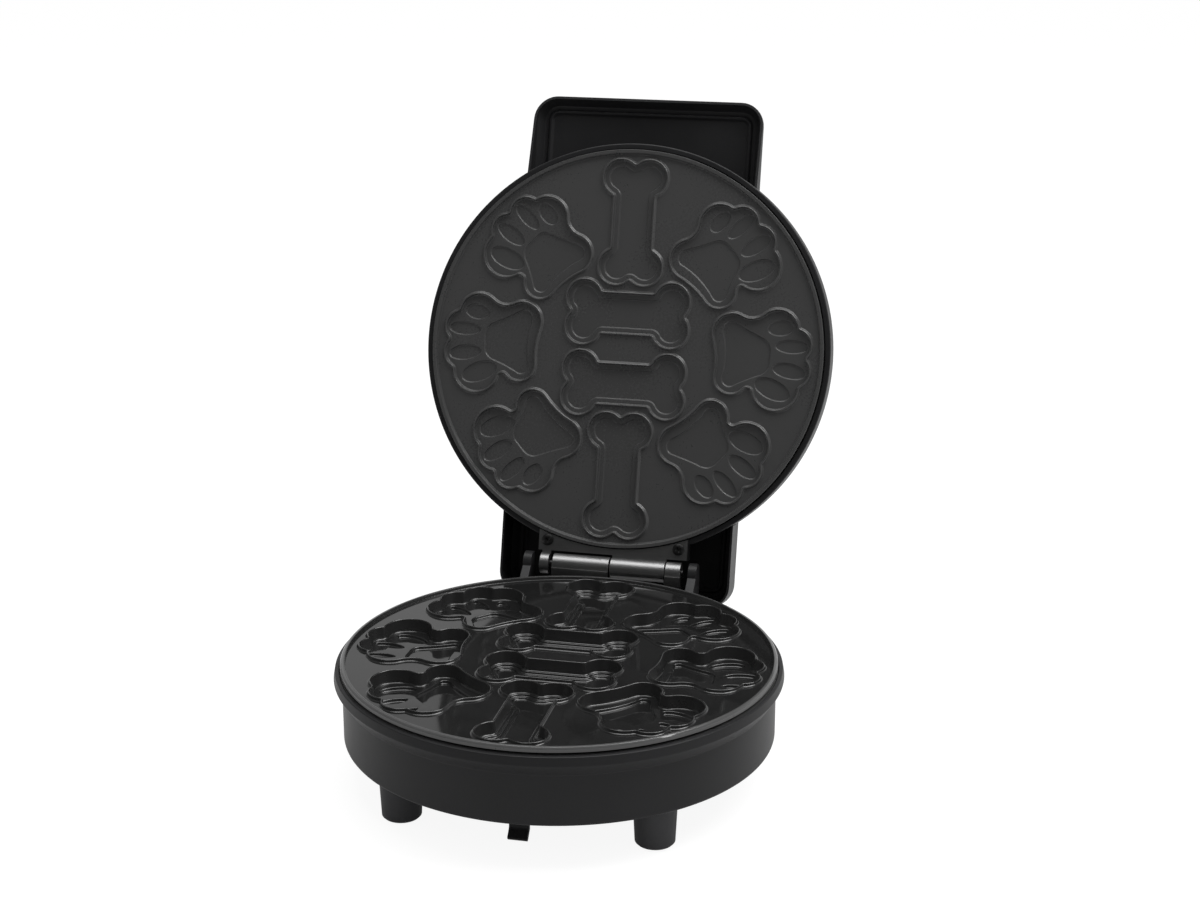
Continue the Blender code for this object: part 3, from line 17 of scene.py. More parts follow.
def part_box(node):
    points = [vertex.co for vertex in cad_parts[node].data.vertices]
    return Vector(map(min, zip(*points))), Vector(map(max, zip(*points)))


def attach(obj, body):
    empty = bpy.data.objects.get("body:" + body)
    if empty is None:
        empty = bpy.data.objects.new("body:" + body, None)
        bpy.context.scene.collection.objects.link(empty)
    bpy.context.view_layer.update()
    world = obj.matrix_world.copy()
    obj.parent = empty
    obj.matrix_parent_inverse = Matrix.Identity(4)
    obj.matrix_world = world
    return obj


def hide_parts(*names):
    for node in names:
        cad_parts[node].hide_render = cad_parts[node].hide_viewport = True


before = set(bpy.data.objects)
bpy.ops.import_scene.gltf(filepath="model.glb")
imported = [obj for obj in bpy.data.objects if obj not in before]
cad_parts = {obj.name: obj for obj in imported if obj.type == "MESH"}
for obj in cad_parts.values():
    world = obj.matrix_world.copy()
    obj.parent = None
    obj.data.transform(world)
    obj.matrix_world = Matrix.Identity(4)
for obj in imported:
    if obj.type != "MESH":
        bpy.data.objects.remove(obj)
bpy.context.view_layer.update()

MM = 0.001
OPEN_ANGLE = math.radians(106.46)
HINGE_Y, HINGE_Z = 111.26, 59.66
HINGE = (HINGE_Y, HINGE_Z)
LID_HINGE_Z = 0.16
plate_low, plate_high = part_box("lower_plate")
BASE = Matrix.Translation((0, (plate_low[1] + plate_high[1]) / 2, 0)) @ Matrix.Scale(MM, 4)
LID = (
    BASE
    @ Matrix.Translation((0, HINGE_Y, HINGE_Z))
    @ Matrix.Rotation(-OPEN_ANGLE, 4, "X")
    @ Matrix.Translation((0, -HINGE_Y, -LID_HINGE_Z))
)

# How many faces a plate or a housing has round it, and how far arcs and soft corners turn from face to face
ROUND = 192
FINE = math.radians(10)
CORNER = math.radians(18)

# Materials

# How finely a finish varies over the whole piece, and how much of the variation that is beside its own grain
BROAD_SCALE, SWELL_SCALE = 28.0, 45.0
BROAD_SHARE, GRAIN_SHARE = 0.6, 0.4
# Between these values lies nearly all of a noise
NOISE_SPAN = (0.3, 0.7)
# How far up a normal points on a steep wall, and on what no longer counts as steep
STEEP, SHALLOW = 0.20, 0.55
# How much paler the coat is painted: on the cavities' steep walls as painted light, and on the plate's outer
# edge as a painted highlight
STEEP_PAINTED_LIGHT, RIM_HIGHLIGHT_PALENESS = 1.6, 5.5
RIM_HIGHLIGHT_BLEND = 0.0006
COAT_ROUGHNESS = 0.08


class Nodes:
    """A node tree that is written from its first nodes to its last."""

    def __init__(self, tree):
        self.tree = tree
        tree.nodes.clear()

    def add(self, kind, inputs=(), **settings):
        node = self.tree.nodes.new(kind)
        for name, value in settings.items():
            setattr(node, name, value)
        for name, value in dict(inputs).items():
            if isinstance(value, bpy.types.NodeSocket):
                self.tree.links.new(value, node.inputs[name])
            else:
                node.inputs[name].default_value = value
        return node

    def math(self, operation, *values):
        return self.add("ShaderNodeMath", dict(enumerate(values)), operation=operation).outputs[0]

    def noise(self, place, scale, detail, roughness=0.5):
        inputs = {"Vector": place, "Scale": scale, "Detail": detail, "Roughness": roughness}
        return self.add("ShaderNodeTexNoise", inputs).outputs["Fac"]

    def ramp(self, value, start, end, low, high, kind="LINEAR"):
        """A level that is low up to the start, goes to high at the end and stays there."""
        inputs = {"Value": value, "From Min": start, "From Max": end, "To Min": low, "To Max": high}
        return self.add("ShaderNodeMapRange", inputs, clamp=True, interpolation_type=kind).outputs[0]

    def colour_between(self, share, first, second):
        return self.add("ShaderNodeMix", {0: share, 6: first, 7: second}, data_type="RGBA").outputs[2]

    def bump(self, height, distance, **inputs):
        inputs = {"Height": height, "Distance": distance, "Strength": 1.0, **inputs}
        return self.add("ShaderNodeBump", inputs).outputs[0]


def rgba(colour, paleness=1.0):
    return (*(value * paleness for value in colour), 1)


def material(name, dark, light, roughness, metallic=0.0, grain=900.0, grain_depth=0.00002,
             stretch=(1, 1, 1), waves=0.0, specular=0.5, ior=1.5, coat=0.0, transmission=0.0,
             steep_roughness_and_painted_light=0.0, rim_highlight_radius=0.0):
    """A finish whose colour, roughness and surface vary, at a broad scale and at the scale of its grain."""
    made = bpy.data.materials.new(name + "_finish")
    made.use_nodes = True
    nodes = Nodes(made.node_tree)
    place = nodes.add("ShaderNodeTexCoord").outputs["Object"]
    along = nodes.add("ShaderNodeMapping", {"Vector": place, "Scale": stretch}).outputs[0]
    broad = nodes.noise(place, BROAD_SCALE, 3.0)
    fine = nodes.noise(along, grain, 3.0, 0.6)
    broad_part = nodes.math("MULTIPLY", broad, BROAD_SHARE)
    blend = nodes.math("ADD", broad_part, nodes.math("MULTIPLY", fine, GRAIN_SHARE))
    colour = nodes.colour_between(nodes.ramp(blend, *NOISE_SPAN, 0.0, 1.0), rgba(dark), rgba(light))
    rough = nodes.ramp(blend, *NOISE_SPAN, *roughness)
    if steep_roughness_and_painted_light:
        # Rougher on the cavities' walls than on what is flat, and painted paler there as painted light
        normal = nodes.add("ShaderNodeNewGeometry").outputs["Normal"]
        upright = nodes.math("ABSOLUTE", nodes.add("ShaderNodeSeparateXYZ", {"Vector": normal}).outputs["Z"])
        steep = nodes.ramp(upright, STEEP, SHALLOW, 1.0, 0.0)
        rough = nodes.math("ADD", rough, nodes.math("MULTIPLY", steep, steep_roughness_and_painted_light))
        colour = nodes.colour_between(steep, colour, rgba(light, STEEP_PAINTED_LIGHT))
    if rim_highlight_radius:
        # Painted highlight: the coat is painted paler on the plate's outer edge, beyond this radius
        flattened = {"Vector": place, "Location": (0, -BASE.translation.y, 0), "Scale": (1, 1, 0)}
        centred = nodes.add("ShaderNodeMapping", flattened).outputs[0]
        radius = nodes.add("ShaderNodeVectorMath", {0: centred}, operation="LENGTH").outputs["Value"]
        rim_highlight = nodes.ramp(radius, rim_highlight_radius, rim_highlight_radius + RIM_HIGHLIGHT_BLEND, 0.0, 1.0)
        colour = nodes.colour_between(rim_highlight, colour, rgba(light, RIM_HIGHLIGHT_PALENESS))
    surface = nodes.bump(fine, grain_depth)
    if waves:
        surface = nodes.bump(nodes.noise(place, SWELL_SCALE, 1.0), waves, Normal=surface)
    shader = nodes.add("ShaderNodeBsdfPrincipled", {
        "Base Color": colour, "Roughness": rough, "Metallic": metallic, "Normal": surface,
        "Specular IOR Level": specular, "IOR": ior, "Coat Weight": coat, "Coat Roughness": COAT_ROUGHNESS,
        "Transmission Weight": transmission,
    })
    nodes.add("ShaderNodeOutputMaterial", {"Surface": shader.outputs[0]})
    return made


def grey(value, tint=0.0):
    return (value, value, value * (1 + tint))


FINISHES = {
    "case": material("case", grey(0.0135, 0.05), grey(0.0182, 0.05), (0.34, 0.44), grain=1500,
                     grain_depth=0.000016, specular=0.21),
    # Painted light: a paler copy of the case plastic, standing in for the light the feet lack in the shade
    # under the housing
    "foot": material("foot", grey(0.0390, 0.05), grey(0.0480, 0.05), (0.40, 0.50), grain=1500,
                     grain_depth=0.000016, specular=0.25),
    "glossy_coat": material("glossy_coat", grey(0.0090), grey(0.0125), (0.045, 0.085), grain=700,
                            grain_depth=0.0000012, waves=0.000012, ior=1.60, steep_roughness_and_painted_light=0.22,
                            rim_highlight_radius=0.0990),
    "matt_coat": material("matt_coat", grey(0.0485), grey(0.0512), (0.26, 0.30), grain=800,
                          grain_depth=0.000002),
    "rubber": material("rubber", grey(0.010), grey(0.016), (0.72, 0.86), grain=800, specular=0.25),
    "hinge_steel": material("hinge_steel", grey(0.22), grey(0.30), (0.34, 0.44), 1.0, grain=500,
                            grain_depth=0.000008, stretch=(0.08, 2.2, 2.2)),
    "steel": material("steel", grey(0.030), grey(0.050), (0.32, 0.42), 0.9, grain=700, grain_depth=0.000006),
    "heater_steel": material("heater_steel", (0.24, 0.22, 0.20), (0.36, 0.34, 0.32), (0.36, 0.55), 0.9),
    "shield_steel": material("shield_steel", grey(0.52), grey(0.66), (0.30, 0.45), 1.0, grain=420,
                             grain_depth=0.000008, stretch=(0.1, 2, 2)),
    "thermostat_body": material("thermostat_body", (0.62, 0.60, 0.55), (0.74, 0.72, 0.67), (0.5, 0.65)),
    "terminal_plastic": material("terminal_plastic", (0.62, 0.61, 0.56), (0.72, 0.71, 0.66), (0.42, 0.55)),
    "power_lens": material("power_lens", (0.36, 0.010, 0.008), (0.46, 0.018, 0.014), (0.12, 0.2),
                           grain_depth=0.000004, coat=0.4),
    "ready_lens": material("ready_lens", (0.010, 0.20, 0.030), (0.016, 0.28, 0.045), (0.12, 0.2),
                           grain_depth=0.000004, coat=0.4),
    "lamp_glass": material("lamp_glass", (0.80, 0.62, 0.46), (0.90, 0.74, 0.60), (0.06, 0.14),
                           grain_depth=0.000002, transmission=0.6),
}

# Flat outlines


def arc(centre, radius, start, end, turn=FINE):
    """Points along an arc, both ends included."""
    steps = max(1, math.ceil(abs(end - start) / turn - 1e-4))
    angles = [start + (end - start) * i / steps for i in range(steps + 1)]
    return [(centre[0] + radius * math.cos(a), centre[1] + radius * math.sin(a)) for a in angles]


def circle(centre, radius, steps):
    turn = 2 * math.pi / steps
    return arc(centre, radius, 0, 2 * math.pi - turn, turn)


def softened(points, closed=False, turn=CORNER):
    """A polyline of (x, y, round) rows, each corner rounded by its third number."""
    line = []
    for i, (x, y, radius) in enumerate(points):
        here = Vector((x, y))
        if not radius or (not closed and i in (0, len(points) - 1)):
            line.append((x, y))
            continue
        back = (Vector(points[i - 1][:2]) - here).normalized()
        on = (Vector(points[(i + 1) % len(points)][:2]) - here).normalized()
        half = back.angle(on) / 2
        first, last = here + back * (radius / math.tan(half)), here + on * (radius / math.tan(half))
        centre = here + (back + on).normalized() * (radius / math.sin(half))
        start = math.atan2(first.y - centre.y, first.x - centre.x)
        sweep = math.atan2(last.y - centre.y, last.x - centre.x) - start
        sweep = (sweep + math.pi) % (2 * math.pi) - math.pi
        line += arc(centre, radius, start, start + sweep, turn)
    return line


def rounded_rectangle(x_low, x_high, y_low, y_high, radius, turn=FINE):
    corners = ((x_high, y_low), (x_high, y_high), (x_low, y_high), (x_low, y_low))
    return softened([(*corner, radius) for corner in corners], True, turn)


def chain_arcs(circles, fillets):
    """Arcs round a closed anticlockwise chain of circles, joined by hollow fillets."""
    hollows = []
    for i, (x1, y1, r1) in enumerate(circles):
        x2, y2, r2 = circles[(i + 1) % len(circles)]
        reach1, reach2 = r1 + fillets[i], r2 + fillets[i]
        along = Vector((x2 - x1, y2 - y1))
        span = along.length
        along.normalize()
        run = (reach1**2 - reach2**2 + span**2) / (2 * span)
        rise = math.sqrt(reach1**2 - run**2)
        hollows.append(Vector((x1, y1)) + along * run + Vector((along.y, -along.x)) * rise)
    arcs = []
    for i, (x, y, radius) in enumerate(circles):
        before, after = hollows[i - 1], hollows[i]
        start = math.atan2(before.y - y, before.x - x)
        end = math.atan2(after.y - y, after.x - x)
        arcs.append(((x, y), radius, start, end + (2 * math.pi if end < start else 0)))
        x2, y2, _ = circles[(i + 1) % len(circles)]
        start = math.atan2(y - after.y, x - after.x)
        end = math.atan2(y2 - after.y, x2 - after.x)
        arcs.append((tuple(after), fillets[i], start, end - (2 * math.pi if end > start else 0)))
    return arcs


def bone_arcs():
    """Half a bone's arcs from its right flank to its left one, and the same half turned round."""
    lobe, lobe_x, lobe_y, shaft, fillet = 9.2, 7.3, 22.6, 10.3, 2.0
    corner_x, reach = shaft + fillet, lobe + fillet
    corner_y = lobe_y - math.sqrt(reach**2 - (corner_x - lobe_x) ** 2)
    notch_y = lobe_y + math.sqrt(reach**2 - lobe_x**2)
    flank = math.atan2(lobe_y - corner_y, lobe_x - corner_x)
    notch = math.atan2(notch_y - lobe_y, lobe_x)
    half = [
        ((corner_x, corner_y), fillet, math.pi, flank),
        ((lobe_x, lobe_y), lobe, flank - math.pi, math.pi - notch),
        ((0, notch_y), fillet, -notch, notch - math.pi),
        ((-lobe_x, lobe_y), lobe, notch, 2 * math.pi - flank),
        ((-corner_x, corner_y), fillet, math.pi - flank, 0),
    ]
    turned_half = [((-x, -y), radius, start + math.pi, end + math.pi) for (x, y), radius, start, end in half]
    return half + turned_half


# A paw is given in shares of this length, along it and across it from its middle
PAW = 49.4
PAW_CIRCLES = (
    (-0.30, -0.21, 0.168),
    (0.16, -0.284, 0.234),
    (0.33, -0.11, 0.172),
    (0.34, 0.15, 0.164),
    (0.155, 0.290, 0.212),
    (-0.31, 0.24, 0.20),
)
PAW_FILLETS = (0.06, 0.04, 0.04, 0.04, 0.20, 0.90)
HEEL_CIRCLES = (
    (-0.315, -0.225, 0.085),
    (-0.05, -0.045, 0.140),
    (-0.04, 0.085, 0.135),
    (-0.325, 0.275, 0.090),
)
HEEL_FILLETS = (1.60, 3.00, 3.00, 0.90)
# Each row is centre along, centre across, half length, half width and how far the toe is turned
TOES = (
    (0.128, -0.306, 0.200, 0.104, math.radians(-22)),
    (0.290, -0.112, 0.178, 0.082, math.radians(-10)),
    (0.305, 0.136, 0.174, 0.074, 0.0),
    (0.180, 0.318, 0.136, 0.084, math.radians(6)),
)
# Points of an outline lie this far apart on its larger arcs, and nearer ones than the second length are one
SPACING, NEAREST = 1.6, 0.05


def with_normals(arcs, turn=FINE):
    """Points of a closed outline of tangent arcs, each with its outward normal."""
    points = []
    for centre, radius, start, end in arcs:
        outward = 1 if end > start else -1
        step = min(turn, max(turn / 3, SPACING / radius))
        for x, y in arc(centre, radius, start, end, step):
            normal = Vector((x - centre[0], y - centre[1])) * (outward / radius)
            if not points or (Vector((x, y)) - points[-1][0]).length > NEAREST:
                points.append((Vector((x, y)), normal))
    if (points[0][0] - points[-1][0]).length < NEAREST:
        points.pop()
    return points


def paw_outline(circles, fillets):
    """The outline of a paw or of its heel, with outward normals."""
    sized = [tuple(PAW * share for share in row) for row in circles]
    return with_normals(chain_arcs(sized, [PAW * share for share in fillets]))


def toe_outline(row, steps=32):
    """An oval toe turned towards its end of the paw, with outward normals."""
    x, y, half_length, half_width = (PAW * share for share in row[:4])
    spin = Matrix.Rotation(row[4], 2)
    points = []
    for i in range(steps):
        angle = 2 * math.pi * i / steps
        cos, sin = math.cos(angle), math.sin(angle)
        at = spin @ Vector((half_length * cos, half_width * sin))
        normal = spin @ Vector((cos / half_length, sin / half_width)).normalized()
        points.append((Vector((x, y)) + at, normal))
    return points


# How far the middles of the cavities lie from the plate's centre
INNER_BONE, OUTER_BONE, CORNER_PAW = 18.0, 64.2, 69.8
SIDE_PAW_X, SIDE_PAW_Y = 69.6, 0.6


def cavity_places():
    """Each cavity's kind and the map from its own axes to the plate's."""
    places = []
    for sign in (-1, 1):
        places.append(("bone", Vector((0, sign * INNER_BONE)), Vector((0, 1)), Vector((1, 0))))
        places.append(("bone", Vector((0, sign * OUTER_BONE)), Vector((1, 0)), Vector((0, 1))))
    for side in (-1, 1):
        places.append(("paw", Vector((side * SIDE_PAW_X, SIDE_PAW_Y)), Vector((side, 0)), Vector((0, -1))))
        for end in (-1, 1):
            cos = math.sqrt(0.5)
            along = Vector((side * cos, end * cos))
            across = Vector((-side * cos, end * cos))
            places.append(("paw", along * CORNER_PAW, along, across))
    return places


# Solids

# Vertices nearer than this are one, and edges sharper than this are bevelled
WELD, BEVELLED = 0.002, math.radians(38)


def ring(bm, points, z):
    return [bm.verts.new((p[0], p[1], z)) for p in points]


def ring_edges(bm, verts):
    pairs = zip(verts, verts[1:] + verts[:1])
    return [bm.edges.get(pair) or bm.edges.new(pair) for pair in pairs]


def fill(bm, edges):
    """Flat faces between closed rings of edges."""
    bmesh.ops.triangle_fill(bm, use_beauty=True, edges=edges)


def bridge(bm, first, second):
    """A band of faces between two rings, of as many vertices or with one pole."""
    count = max(len(first), len(second))
    for i in range(count):
        j = (i + 1) % count
        if len(first) == 1:
            bm.faces.new((first[0], second[i], second[j]))
        elif len(second) == 1:
            bm.faces.new((first[j], first[i], second[0]))
        else:
            bm.faces.new((first[i], second[i], second[j], first[j]))


def bands(bm, rings):
    for first, second in zip(rings, rings[1:]):
        bridge(bm, first, second)


def revolve(profile, steps=ROUND):
    """A solid turned about Z from (radius, height) points, closed on itself or on the axis."""
    bm = bmesh.new()
    on_axis = profile[0][0] == 0
    rings = [ring(bm, circle((0, 0), r, steps) if r else [(0, 0)], h) for r, h in profile]
    bands(bm, rings)
    if not on_axis:
        bridge(bm, rings[-1], rings[0])
    return bm


def loft(sections):
    """A solid through (outline, height) sections of as many points, with flat ends."""
    bm = bmesh.new()
    rings = [ring(bm, outline, height) for outline, height in sections]
    bands(bm, rings)
    bm.faces.new(rings[0][::-1])
    bm.faces.new(rings[-1])
    return bm


def prism(outline, low, high):
    return loft(((outline, low), (outline, high)))


def turned_to_x(bm):
    """Carries the Z axis to X, X to Y and Y to Z."""
    bm.transform(Matrix(((0, 0, 1, 0), (1, 0, 0, 0), (0, 1, 0, 0), (0, 0, 0, 1))))
    return bm


def prism_x(outline, low, high):
    """A solid of one (y, z) section, pulled along X."""
    return turned_to_x(prism(outline, low, high))


def box(x, y, z):
    return prism(((x[0], y[0]), (x[1], y[0]), (x[1], y[1]), (x[0], y[1])), *z)


def moved(bm, x, y, z):
    bm.transform(Matrix.Translation((x, y, z)))
    return bm


def turned(bm, angle, axis="X"):
    bm.transform(Matrix.Rotation(angle, 4, axis))
    return bm


def facing_back(bm, x, y, z):
    """Carries what is made along +Z to run along +Y from this place."""
    return moved(turned(bm, -math.pi / 2), x, y, z)


def barrel(radius, low, high, centre, edge=0.25, steps=48):
    """A cylinder along X with softened ends."""
    profile = softened(((0, low, 0), (radius, low, edge), (radius, high, edge), (0, high, 0)))
    return moved(turned_to_x(revolve(profile, steps)), 0, *centre)


def outward(bm):
    bmesh.ops.recalc_face_normals(bm, faces=bm.faces)
    if bm.calc_volume(signed=True) < 0:
        bmesh.ops.reverse_faces(bm, faces=bm.faces)
    return bm


def placed(name, data):
    made = bpy.data.objects.new(name, data)
    bpy.context.scene.collection.objects.link(made)
    return made


def as_object(bm, name):
    """An object of the solid, which is freed."""
    mesh = bpy.data.meshes.new(name)
    bm.to_mesh(mesh)
    bm.free()
    return placed(name, mesh)


def combine(bm, tools, operation):
    """The solid after each tool is joined to it or cut from it."""
    target, *helpers = [as_object(outward(solid), "working") for solid in (bm, *tools)]
    for helper in helpers:
        modifier = target.modifiers.new("combine", "BOOLEAN")
        modifier.operation = operation
        modifier.solver = "EXACT"
        modifier.object = helper
    result = bmesh.new()
    result.from_object(target, bpy.context.evaluated_depsgraph_get())
    for helper in (target, *helpers):
        mesh = helper.data
        bpy.data.objects.remove(helper)
        bpy.data.meshes.remove(mesh)
    return result


def join(bm, *tools):
    return combine(bm, tools, "UNION")


def cut(bm, *tools):
    return combine(bm, tools, "DIFFERENCE")


def piece(bm, name, space, body, stands_for, finish, bevel=0.0, sharp=32):
    """A new object of the solid, in metres, that rides on its body and stands for its CAD nodes."""
    bmesh.ops.remove_doubles(bm, verts=bm.verts, dist=WELD)
    outward(bm).transform(space)
    made = as_object(bm, name)
    mesh = made.data
    mesh.materials.append(FINISHES[finish])
    mesh.shade_smooth()
    if bevel:
        modifier = made.modifiers.new("edges", "BEVEL")
        modifier.width = bevel * MM
        modifier.segments = 2
        modifier.limit_method = "ANGLE"
        modifier.angle_limit = BEVELLED
        modifier.use_clamp_overlap = True
    else:
        mesh.set_sharp_from_angle(angle=math.radians(sharp))
    normals = made.modifiers.new("normals", "WEIGHTED_NORMAL")
    normals.mode = "FACE_AREA"
    normals.keep_sharp = True
    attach(made, body)
    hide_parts(*stands_for)
    return made


def base_piece(bm, name, node, finish, **edges):
    return piece(bm, name, BASE, "base", [node], finish, **edges)


def lid_piece(bm, name, node, finish, **edges):
    return piece(bm, name, LID, "lid", [node], finish, **edges)


# Screws

SCREW_HOLE = 1.7
# How wide and how high the heads are, of the screws in the hinge's leaves and of those in the lower plate
LEAF_SCREW_HEAD, LEAF_SCREW_DOME = 3.0, 0.9
PLATE_SCREW_HEAD, PLATE_SCREW_DOME = 3.2, 1.8
SHANK, POINT, TAPER = 1.3, 0.7, 0.6
RECESS_DEPTH, RECESS_ANGLE = 0.75, 0.4


def screw_hole(spot, low, high):
    return prism(circle(spot, SCREW_HOLE, 20), low, high)


def screw(length, radius, dome):
    """A cross-head screw that points down from the underside of its head at the origin."""
    profile = softened((
        (0, dome, 0), (radius * 0.62, dome, 0.6), (radius, dome * 0.45, 0.25), (radius, 0, 0.05),
        (SHANK, 0, 0), (SHANK, -length + TAPER, 0), (POINT, -length, 0), (0, -length, 0),
    ))
    arms = []
    for angle in (RECESS_ANGLE, RECESS_ANGLE + math.pi / 2):
        sections = []
        for z, reach, half in ((dome - RECESS_DEPTH, 0.5, 0.22), (dome + 0.3, 2.0, 0.42)):
            sections.append((((-reach, -half), (reach, -half), (reach, half), (-reach, half)), z))
        arms.append(turned(loft(sections), angle, "Z"))
    return cut(revolve(profile, 40), join(*arms))


# Cast plates. Each row is how far outside a cavity's outline and how high over the land

LOWER_WALL = (
    (1.48, 0.0), (1.303, 0.018), (1.133, 0.073), (0.975, 0.163), (0.836, 0.284), (0.722, 0.430),
    (0.660, 0.560), (0.560, 1.060), (0.505, 1.200), (0.420, 1.305), (0.310, 1.380), (0.190, 1.425),
    (0.020, 1.425), (-0.150, 1.350), (-0.290, 1.21), (-0.372, 1.017), (-0.42, 0.0), (-1.00, -3.6),
)
UPPER_WALL = (
    (1.46, 0.0), (1.30, 0.06), (1.06, 0.32), (0.80, 0.68), (0.54, 1.00), (0.34, 1.18), (0.12, 1.26),
    (-0.06, 1.20), (-0.20, 0.98), (-0.28, 0.6), (-0.40, -0.1),
)
# Where a wall meets its floor. A lower bone has one more ledge there
LOWER_PAW_FOOT = ((-1.09, -4.02), (-1.27, -4.36), (-1.55, -4.58), (-1.90, -4.66))
LOWER_BONE_FOOT = (
    (-1.06, -3.82), (-1.20, -4.10), (-1.44, -4.32), (-1.74, -4.42), (-2.10, -4.46), (-2.30, -4.54),
    (-2.46, -4.74), (-2.56, -5.02), (-2.70, -5.26), (-2.90, -5.38), (-3.10, -5.42),
)
UPPER_FOOT = ((-0.52, -0.56), (-0.66, -0.76), (-0.95, -0.84))
# The step from that floor down to a pad or a bone's terrace, from the edge of what is stepped down
LOWER_PAW_STEP = (
    (0.0, 0.0), (-0.16, -0.03), (-0.32, -0.13), (-0.44, -0.29), (-0.54, -0.55), (-0.64, -0.90),
    (-0.78, -1.14), (-1.00, -1.30), (-1.30, -1.36),
)
LOWER_BONE_STEP = (
    (0.0, 0.0), (-0.14, -0.03), (-0.28, -0.16), (-0.40, -0.40), (-0.56, -0.62), (-0.80, -0.76), (-1.1, -0.80),
)
UPPER_STEP = ((0.0, 0.0), (-0.10, -0.03), (-0.24, -0.20), (-0.42, -0.58), (-0.56, -0.72), (-0.85, -0.78))


class Relief(NamedTuple):
    """The rows of a plate's cavities, how far in a bone's terrace starts and how far out a pad does."""

    wall: tuple
    paw_foot: tuple
    bone_foot: tuple
    paw_step: tuple
    bone_step: tuple
    terrace: float
    pad: float


LOWER_RELIEF = Relief(
    LOWER_WALL, LOWER_PAW_FOOT, LOWER_BONE_FOOT, LOWER_PAW_STEP, LOWER_BONE_STEP, terrace=-4.1, pad=-0.95
)
UPPER_RELIEF = Relief(
    UPPER_WALL, UPPER_FOOT, UPPER_FOOT, UPPER_STEP, UPPER_STEP, terrace=-2.7, pad=0.05
)

# The land and a skirt's end lie this high over the rim plane
LAND, SKIRT = -1.6, -5.9
# A plate's rim from the land to its skirt: how far out, how high over the rim plane and how round
LOWER_RIM = (
    (98.0, LAND, 0), (98.4, LAND, 0.25), (98.75, -0.10, 0.2), (99.2, 0.0, 0.3), (100.25, -0.14, 0.4),
    (100.9, -0.85, 0.5), (101.0, -2.45, 0.12), (98.2, -2.55, 0.1), (98.2, -3.75, 0.1), (101.0, -3.85, 0.1),
    (101.0, SKIRT, 0.3),
)
UPPER_RIM = (
    (98.2, LAND, 0), (98.5, LAND, 0.3), (99.3, -0.05, 0.3), (100.85, 0.0, 0.15), (101.0, -0.3, 0.1),
    (101.0, SKIRT, 0.3),
)
# How far each plate's back lies from its rim plane, and how deep its screw pockets are
LOWER_BACK, LOWER_POCKET = 13.2, 6.0
UPPER_BACK, UPPER_POCKET = 7.2, 4.0
BACK_RADIUS, BACK_FLAT = 97.2, 96.2
# Where the lower plate's rim plane lies in the base frame
LOWER_TOP = 58.9
# Where each plate is screwed to its housing
FIXINGS = [(x, y) for x in (-22.0, 22.0) for y in (-40.0, 40.0)]


def cavity(bm, place, relief):
    """One treat cavity: its bead, wall and floor, and the steps down from it. Gives its ring on the land."""
    kind, centre, along, across = place

    def on_plate(outline, offset):
        points = [point + normal * offset for point, normal in outline]
        return [centre + along * point.x + across * point.y for point in points]

    if kind == "bone":
        outline, pads = with_normals(bone_arcs()), []
        level = relief.bone_foot[-1][1]
        terrace = tuple((relief.terrace + offset, level + height) for offset, height in relief.bone_step)
        wall = relief.wall + relief.bone_foot + terrace
    else:
        outline = paw_outline(PAW_CIRCLES, PAW_FILLETS)
        pads = [paw_outline(HEEL_CIRCLES, HEEL_FILLETS), *(toe_outline(row) for row in TOES)]
        wall = relief.wall + relief.paw_foot
    rings = [ring(bm, on_plate(outline, offset), LAND + height) for offset, height in wall]
    bands(bm, rings)
    level = LAND + wall[-1][1]
    edges = ring_edges(bm, rings[-1])
    for pad in pads:
        sunk = [(on_plate(pad, relief.pad + offset), level + height) for offset, height in relief.paw_step]
        down = [ring(bm, points, height) for points, height in sunk]
        bands(bm, down)
        fill(bm, ring_edges(bm, down[-1]))
        edges += ring_edges(bm, down[0])
    fill(bm, edges)
    return rings[0]


def plate(rim, relief, back, pocket):
    """A cast plate with its cooking face up and its rim plane at zero."""
    bm = bmesh.new()
    under = ((BACK_RADIUS, SKIRT, 0.3), (BACK_RADIUS, -back, 0.5), (BACK_FLAT, -back, 0))
    profile = softened(rim + under, turn=FINE)
    rings = [ring(bm, circle((0, 0), radius, ROUND), height) for radius, height in profile]
    bands(bm, rings)
    edges = ring_edges(bm, rings[0])
    for place in cavity_places():
        edges += ring_edges(bm, cavity(bm, place, relief))
    fill(bm, edges)
    edges = ring_edges(bm, rings[-1])
    for spot in [(0, 0), *FIXINGS]:
        mouth = ring(bm, circle(spot, SCREW_HOLE, 16), -back)
        end = ring(bm, circle(spot, SCREW_HOLE, 16), -back + pocket)
        bridge(bm, mouth, end)
        bm.faces.new(end)
        edges += ring_edges(bm, mouth)
    fill(bm, edges)
    return bm


lower = moved(plate(LOWER_RIM, LOWER_RELIEF, LOWER_BACK, LOWER_POCKET), 0, 0, LOWER_TOP)
base_piece(lower, "lower_cooking_plate", "lower_plate", "glossy_coat", sharp=70)
upper = plate(UPPER_RIM, UPPER_RELIEF, UPPER_BACK, UPPER_POCKET)
upper.transform(Matrix.Scale(-1, 4, (0, 0, 1)))
lid_piece(upper, "upper_cooking_plate", "upper_plate", "matt_coat", sharp=70)

# Base housing

FLOOR, FLOOR_TOP = 21.3, 23.8
# Feet, hooks, bushing and screw heads lie against the floor from below at this height
UNDERSIDE = FLOOR - 0.3
# The tub's radius outside, in its shoulder and in its wall, and the heights of its shoulder and plate seat
TUB, SEAT, INSIDE = 100.2, 101.5, 97.7
SHOULDER, SEAT_Z = 55.5, 52.7
